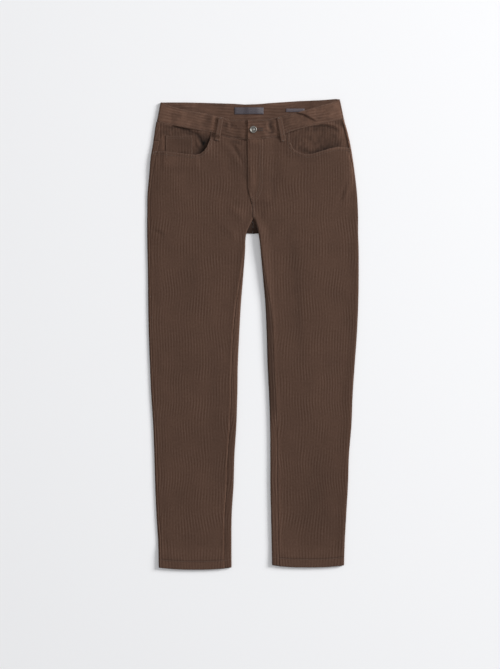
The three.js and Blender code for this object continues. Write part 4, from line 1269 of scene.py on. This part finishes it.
def material(name, slot_color):
    made = bpy.data.materials.new(name)
    made.use_nodes = True
    made.diffuse_color = (*slot_color, 1)
    return made, made.node_tree


def place_on_object(tree):
    return node(tree, "TexCoord", {}, "Object")


def shade(made, **inputs):
    """Sets or links the shader's inputs, whose names have _ for a space."""
    shader = made.node_tree.nodes["Principled BSDF"]
    for key, value in inputs.items():
        put(made.node_tree, value, shader.inputs[key.replace("_", " ")])
    return made


STREAK = 3.85             # ribs in one stripe of painted light and shade
DRIFT = 24.0              # how far stripes wander, in radians
PALER = (0, 0.32, 0.55)   # how much paler green and blue get in light stripes


def corduroy(name, crest, groove, light, streaks):
    """Ribbed pile: crests in the pile's colour, grooves darkened with painted shade, and wavy stripes of
    painted light and shade, as the ribs look from afar.
    """
    made, tree = material(name, crest)
    place = place_on_object(tree)
    wale, run = attribute(tree, "wale"), attribute(tree, "run")

    def cloth_noise(across, along_rib, depth, detail, rough=0.5):
        x, y = maths(tree, "MULTIPLY", wale, across), maths(tree, "MULTIPLY", run, along_rib)
        return noise(tree, node(tree, "CombineXYZ", {0: x, 1: y, 2: depth}), 1.0, detail, rough)

    rib = maths(tree, "COSINE", maths(tree, "MULTIPLY", wale, 2 * math.pi))
    cloth = mixed(tree, maths(tree, "MULTIPLY_ADD", rib, 0.5, 0.5), groove, crest)

    drift = maths(tree, "MULTIPLY", cloth_noise(0.009, 0.008, 0.0, 1.0, 0.4), DRIFT)
    wave = maths(tree, "SINE", maths(tree, "MULTIPLY_ADD", wale, 2 * math.pi / STREAK, drift))
    strength = maths(tree, "MULTIPLY_ADD", cloth_noise(0.05, 0.022, 4.0, 2.0), 4.4, -1.6)
    wave = maths(tree, "MULTIPLY", wave, maths(tree, "MULTIPLY", strength, 1.0, clamp=True))
    fine = maths(tree, "SUBTRACT", cloth_noise(0.62, 0.2, 9.0, 2.0), 0.5)
    wave = maths(tree, "ADD", wave, maths(tree, "MULTIPLY", fine, 2.4))
    stripe = maths(tree, "MULTIPLY_ADD", wave, streaks, 1.0)

    broad = maths(tree, "MULTIPLY_ADD", noise(tree, place, 9.0, 4.0, 0.55), 0.22, 0.89)
    pile = noise(tree, place, 900.0, 3.0, 0.7)
    fuzz = maths(tree, "MULTIPLY_ADD", pile, 0.34, 0.83)
    tone = maths(tree, "MULTIPLY", stripe, broad)
    # The copy's painted light, then each point's uneven pile and painted light and shade.
    for value in (maths(tree, "MULTIPLY", fuzz, light), attribute(tree, "pile_and_shading")):
        tone = maths(tree, "MULTIPLY", tone, value)
    channels = [maths(tree, "MULTIPLY", tone, maths(tree, "POWER", stripe, more)) for more in PALER]
    grey = node(tree, "CombineColor", dict(enumerate(channels)))
    return shade(
        made, Base_Color=mixed(tree, 1.0, cloth, grey, "MULTIPLY"), Roughness=0.92,
        Specular_IOR_Level=0.18, Sheen_Weight=0.16, Sheen_Roughness=0.45, Sheen_Tint=(0.75, 0.58, 0.5),
        Normal=bump(tree, pile, 0.55, 0.0003))


def thread_material(name, dark, light):
    made, tree = material(name, light)
    twist = noise(tree, place_on_object(tree), 1400.0, 2.0)
    return shade(made, Base_Color=mixed(tree, twist, dark, light), Roughness=0.6)


def label_material(name, ground, border):
    """Satin label cloth: a fine weave with slightly lighter threads, and no words."""
    made, tree = material(name, ground)
    place = place_on_object(tree)
    weave = weave_of(tree, place, 900.0, 1.5)
    spots = noise(tree, place, 160.0, 3.0)
    cloth = mixed(tree, maths(tree, "MULTIPLY", weave, 0.35), ground, border)
    cloth = mixed(tree, maths(tree, "MULTIPLY", spots, 0.25), cloth, border)
    return shade(
        made, Base_Color=cloth, Roughness=0.5, Sheen_Weight=0.1, Normal=bump(tree, weave, 0.4, 0.0002))


def metal_material():
    """Antique silver: bright worn rims over darker recesses."""
    made, tree = material("antique_silver", (0.46, 0.44, 0.42))
    spots = noise(tree, place_on_object(tree), 700.0, 4.0, 0.6)
    worn = node(tree, "NewGeometry", {}, "Pointiness")
    edge = maths(tree, "MULTIPLY_ADD", worn, 5.0, -2.2, clamp=True)
    tone = maths(tree, "MULTIPLY", edge, maths(tree, "ADD", spots, 0.45), clamp=True)
    return shade(
        made, Base_Color=mixed(tree, tone, (0.115, 0.112, 0.1), (0.38, 0.365, 0.34)), Metallic=0.9,
        Roughness=maths(tree, "MULTIPLY_ADD", spots, 0.3, 0.3))


def tape_material():
    made, tree = material("zip_tape", (0.04, 0.035, 0.03))
    weave = weave_of(tree, place_on_object(tree), 700.0, 0.6)
    return shade(
        made, Base_Color=mixed(tree, weave, (0.025, 0.02, 0.018), (0.05, 0.042, 0.038)), Roughness=0.8)


# The crest colour is the pile's own; the darker groove colour is painted shade between the ribs.
CREST = (0.106, 0.0582, 0.0395)
GROOVE = (0.050, 0.0262, 0.0178)
# One corduroy three times with painted light: lighter on the waistband and loops, darker on the pocket
# facings and coin pocket.
LEG_FINISH = corduroy("corduroy_legs", CREST, GROOVE, 1.0, 0.2)
BAND_FINISH = corduroy("corduroy_band", CREST, GROOVE, 1.14, 0.14)
FACING_FINISH = corduroy("corduroy_facing", CREST, GROOVE, 0.9, 0.2)
THREAD_FINISH = thread_material("thread", (0.075, 0.046, 0.034), (0.15, 0.1, 0.075))
HOLE_FINISH = thread_material("buttonhole_thread", (0.045, 0.026, 0.019), (0.075, 0.046, 0.034))


# The garment
def dress(made, finish, nodes=()):
    made.data.materials.clear()
    made.data.materials.append(finish)
    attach(made, "root")
    if nodes:
        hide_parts(*nodes)
    return made


def floor():
    size, drop = 20000, -0.05
    corners = [(-size, -size, drop), (size, -size, drop), (size, size, drop), (-size, size, drop)]
    made = make_object("floor", corners, [[0, 1, 2, 3]], flat=True)
    finish, _ = material("floor_finish", (0.86, 0.86, 0.87))
    shade(finish, Base_Color=(0.874, 0.877, 0.89), Roughness=0.9, Specular_IOR_Level=0.1)
    made.data.materials.append(finish)


floor()
shown = []


def cloth(made, node_name, width, length, area, finish=LEG_FINISH):
    """A piece of corduroy that stands for a node, and that stitches can lie on."""
    shown.append(dress(made, finish, [node_name]))


for leg, lift, creases, shading_marks in (
        (RIGHT, right_front_lift, RIGHT_FACING_CREASES, RIGHT_FACING_MARKS),
        (LEFT, left_front_lift, LEFT_FACING_CREASES, LEFT_FACING_MARKS)):
    front, area = front_panel(leg, lift)
    cloth(front, "front_" + leg.name, 255, 1012, area)
    back, area = back_panel(leg)
    cloth(back, "back_leg_" + leg.name, 292, 990, area)
    yoke, area = back_yoke(leg)
    cloth(yoke, "back_yoke_" + leg.name, 250, 72, area)
    facing = pocket_facing(leg, creases, shading_marks)
    cloth(facing, "pocket_facing_" + leg.name, 158, 104, 0.0135, FACING_FINISH)
    cloth(back_pocket(leg), "back_pocket_" + leg.name, 134, 148, 0.0183)

cloth(coin_pocket(), "coin_pocket", 60.6, 60, 0.0036, FACING_FINISH)
band, band_area, band_run = waistband()
cloth(band, "waistband", band_run, 42, band_area, BAND_FINISH)
for side, ends in FRONT_LOOPS.items():
    loop = belt_loop("belt_loop_" + side + "_cloth", *ends)
    cloth(loop, "belt_loop_front_" + side, 11.5, 55, 0.00063, BAND_FINISH)
for place, side in zip(BACK_LOOP_PLACES, ("right", "middle", "left")):
    loop = back_loop(place, "back_loop_" + side + "_cloth")
    dress(loop, BAND_FINISH, ["belt_loop_back_" + side])

dress(button_head(), metal_material(), ["button"])
dress(
    label("label_main_cloth", -42.3, 24.4, 505.8, 521.9),
    label_material("label_ground", (0.034, 0.026, 0.034), (0.066, 0.054, 0.068)),
    ["label_main"])
dress(
    label("label_side_cloth", 75.7, 118.6, 511, 519.2),
    label_material("label_side_ground", (0.05, 0.037, 0.045), (0.09, 0.07, 0.082)),
    ["label_side"])
for slot in bpy.data.objects["fly_zip"].material_slots:
    slot.material = tape_material()

# Stitch lines of the front
surface = Surface(shown)
lines = [
    curve_path(BAND_BOTTOM_FRONT, -217, 206, BAND_STITCH),
    curve_path(BAND_TOP_FRONT, -208, 197, -BAND_STITCH),
    curve_path(BAND_TOP_BACK, -206, 194, -BAND_STITCH),
]
fly_y = np.linspace(446, 303, 60)
lines.append(np.stack([fly_line(fly_y) + 0.4, fly_y], 1))
lines.append(np.stack([fly_line(fly_y) - 5.6, fly_y], 1)[:-6])
for leg in (RIGHT, LEFT):
    mouth = leg.mouth[::leg.side]
    knots = np.linspace(0, len(mouth) - 1, 90)
    dense = np.stack([np.interp(knots, range(len(mouth)), mouth[:, k]) for k in (0, 1)], 1)
    lines += [offset_path(dense, -leg.side * at) for at in MOUTH_STITCHES]
    hem_x = np.linspace(leg.inner(-520) + 3, leg.outer(-520) - 3, 50)
    hem_y = row_height(leg, HEM_END, hem_x, HIP_TOP) + HEM_STITCH
    lines.append(np.stack([leg.side * hem_x, hem_y], 1))
seam_y = np.linspace(318, 268, 30)
lines += [np.stack([straight(CROTCH_SEAM, seam_y) + shift, seam_y], 1) for shift in (1.6, 6.2)]
coin_left, coin_right, coin_top = -COIN["outer"], -COIN["inner"], COIN["top"]
lines += [[(coin_left + 1.5, coin_top - drop), (coin_right - 1.5, coin_top - drop)] for drop in (1.6, 6.0)]
lines += [[(x, coin_top - 1), (x, 402)] for x in (coin_left + 1.6, coin_right - 1.6)]
for (top_x, top_y), (low_x, low_y) in FRONT_LOOPS.values():
    lines += [[(top_x + side, top_y - 1.5), (low_x + side, low_y + 1.5)] for side in (-3.7, 3.7)]
sew("stitching", lines, surface)

# Bar tacks: place and direction in degrees
tacks = []
for x, y, turn in ((-228.5, 418, 90), (-222, 419.5, 0), (222, 428, 80), (216, 429.5, 10),
                   (-72.7, 496.6, 10), (-82.2, 446.6, 10), (60.9, 496.4, -10), (70.1, 444.4, -10)):
    way = np.array([math.cos(math.radians(turn)), math.sin(math.radians(turn))])
    for k in range(-2, 3):
        middle = np.array([x, y]) + np.array([-way[1], way[0]]) * 0.5 * k
        tacks.append([middle - way * 3.6, middle + way * 3.6])
sew("bartacks", tacks, surface, 2.6, 2.4)
hole = [
    [(x, BUTTON[1] + s * 0.8), (x, BUTTON[1] + s * 3.4)]
    for x in np.linspace(BUTTON[0] + 7, BUTTONHOLE_END, 30) for s in (-1, 1)
]
sew("buttonhole_stitches", hole, surface, 2.6, 2.4, finish=HOLE_FINISH)

# Stitch lines of the back
lines = []
pocket_low, pocket_high, pocket_top = BACK_POCKET["inner"], BACK_POCKET["outer"], BACK_POCKET["top"]
pocket_side, pocket_point = BACK_POCKET["side"], BACK_POCKET["point"]
pocket_middle = (pocket_low + pocket_high) / 2
outline = [
    (pocket_low, pocket_top), (pocket_low + 5, pocket_side), (pocket_middle, pocket_point),
    (pocket_high - 5, pocket_side), (pocket_high, pocket_top),
]
for leg in (RIGHT, LEFT):
    x = np.linspace(2, 232, 120) * leg.side
    lines += [np.stack([x, straight(YOKE_SEAM, x) + rise], 1) for rise in (2, 7.5)]
    for inset in (2.0, 7.5):
        across = 1 - inset / ((pocket_high - pocket_low) / 2)
        path = []
        for d, y in outline:
            raised = max(y, pocket_point + inset) + (inset if y < 380 else 0)
            path.append((leg.side * ((d - pocket_middle) * across + pocket_middle), raised))
        lines.append(path)
    lines += [
        [(leg.side * (pocket_low + 4), pocket_top - drop), (leg.side * (pocket_high - 4), pocket_top - drop)]
        for drop in (4, 14)
    ]
lines += [[(x, CROTCH + 4), (x, 482)] for x in (2.2, 7.6)]
sew("stitching_under", lines, surface, sign=-1)


# Light and camera
def area_light(name, place, size, power):
    """A round light that shines at the middle of the garment, and that the camera doesn't see."""
    data = bpy.data.lights.new(name, "AREA")
    data.shape, data.size, data.energy = "DISK", size, power
    made = bpy.data.objects.new(name, data)
    made.location = place
    made.rotation_euler = (-Vector(place)).to_track_quat("-Z", "Y").to_euler()
    made.visible_camera = False
    bpy.context.scene.collection.objects.link(made)


area_light("key", (9.0, 4.05, 4.0), 3.8, 1500)
area_light("top", (-0.2, 0.2, 3.6), 2.6, 17)
world = bpy.data.worlds.new("studio")
world.use_nodes = True
sky = world.node_tree.nodes["Background"].inputs
sky["Color"].default_value = (0.985, 0.99, 1.0, 1)
sky["Strength"].default_value = 0.42
bpy.context.scene.world = world

PIXEL = 2.3 * MM                    # real size of one pixel of the photograph
FRAME_HEIGHT = 669 * PIXEL
CAMERA_FAR = 4.0
SENSOR = 36
camera_data = bpy.data.cameras.new("camera")
camera_data.sensor_width = SENSOR
camera_data.lens = SENSOR * CAMERA_FAR / FRAME_HEIGHT
camera_data.clip_end = 20
camera = bpy.data.objects.new("camera", camera_data)
camera.location = (-6.7 * MM, -0.2 * MM, CAMERA_FAR)
bpy.context.scene.collection.objects.link(camera)
bpy.context.scene.camera = camera
bpy.context.scene.view_settings.view_transform = "Standard"
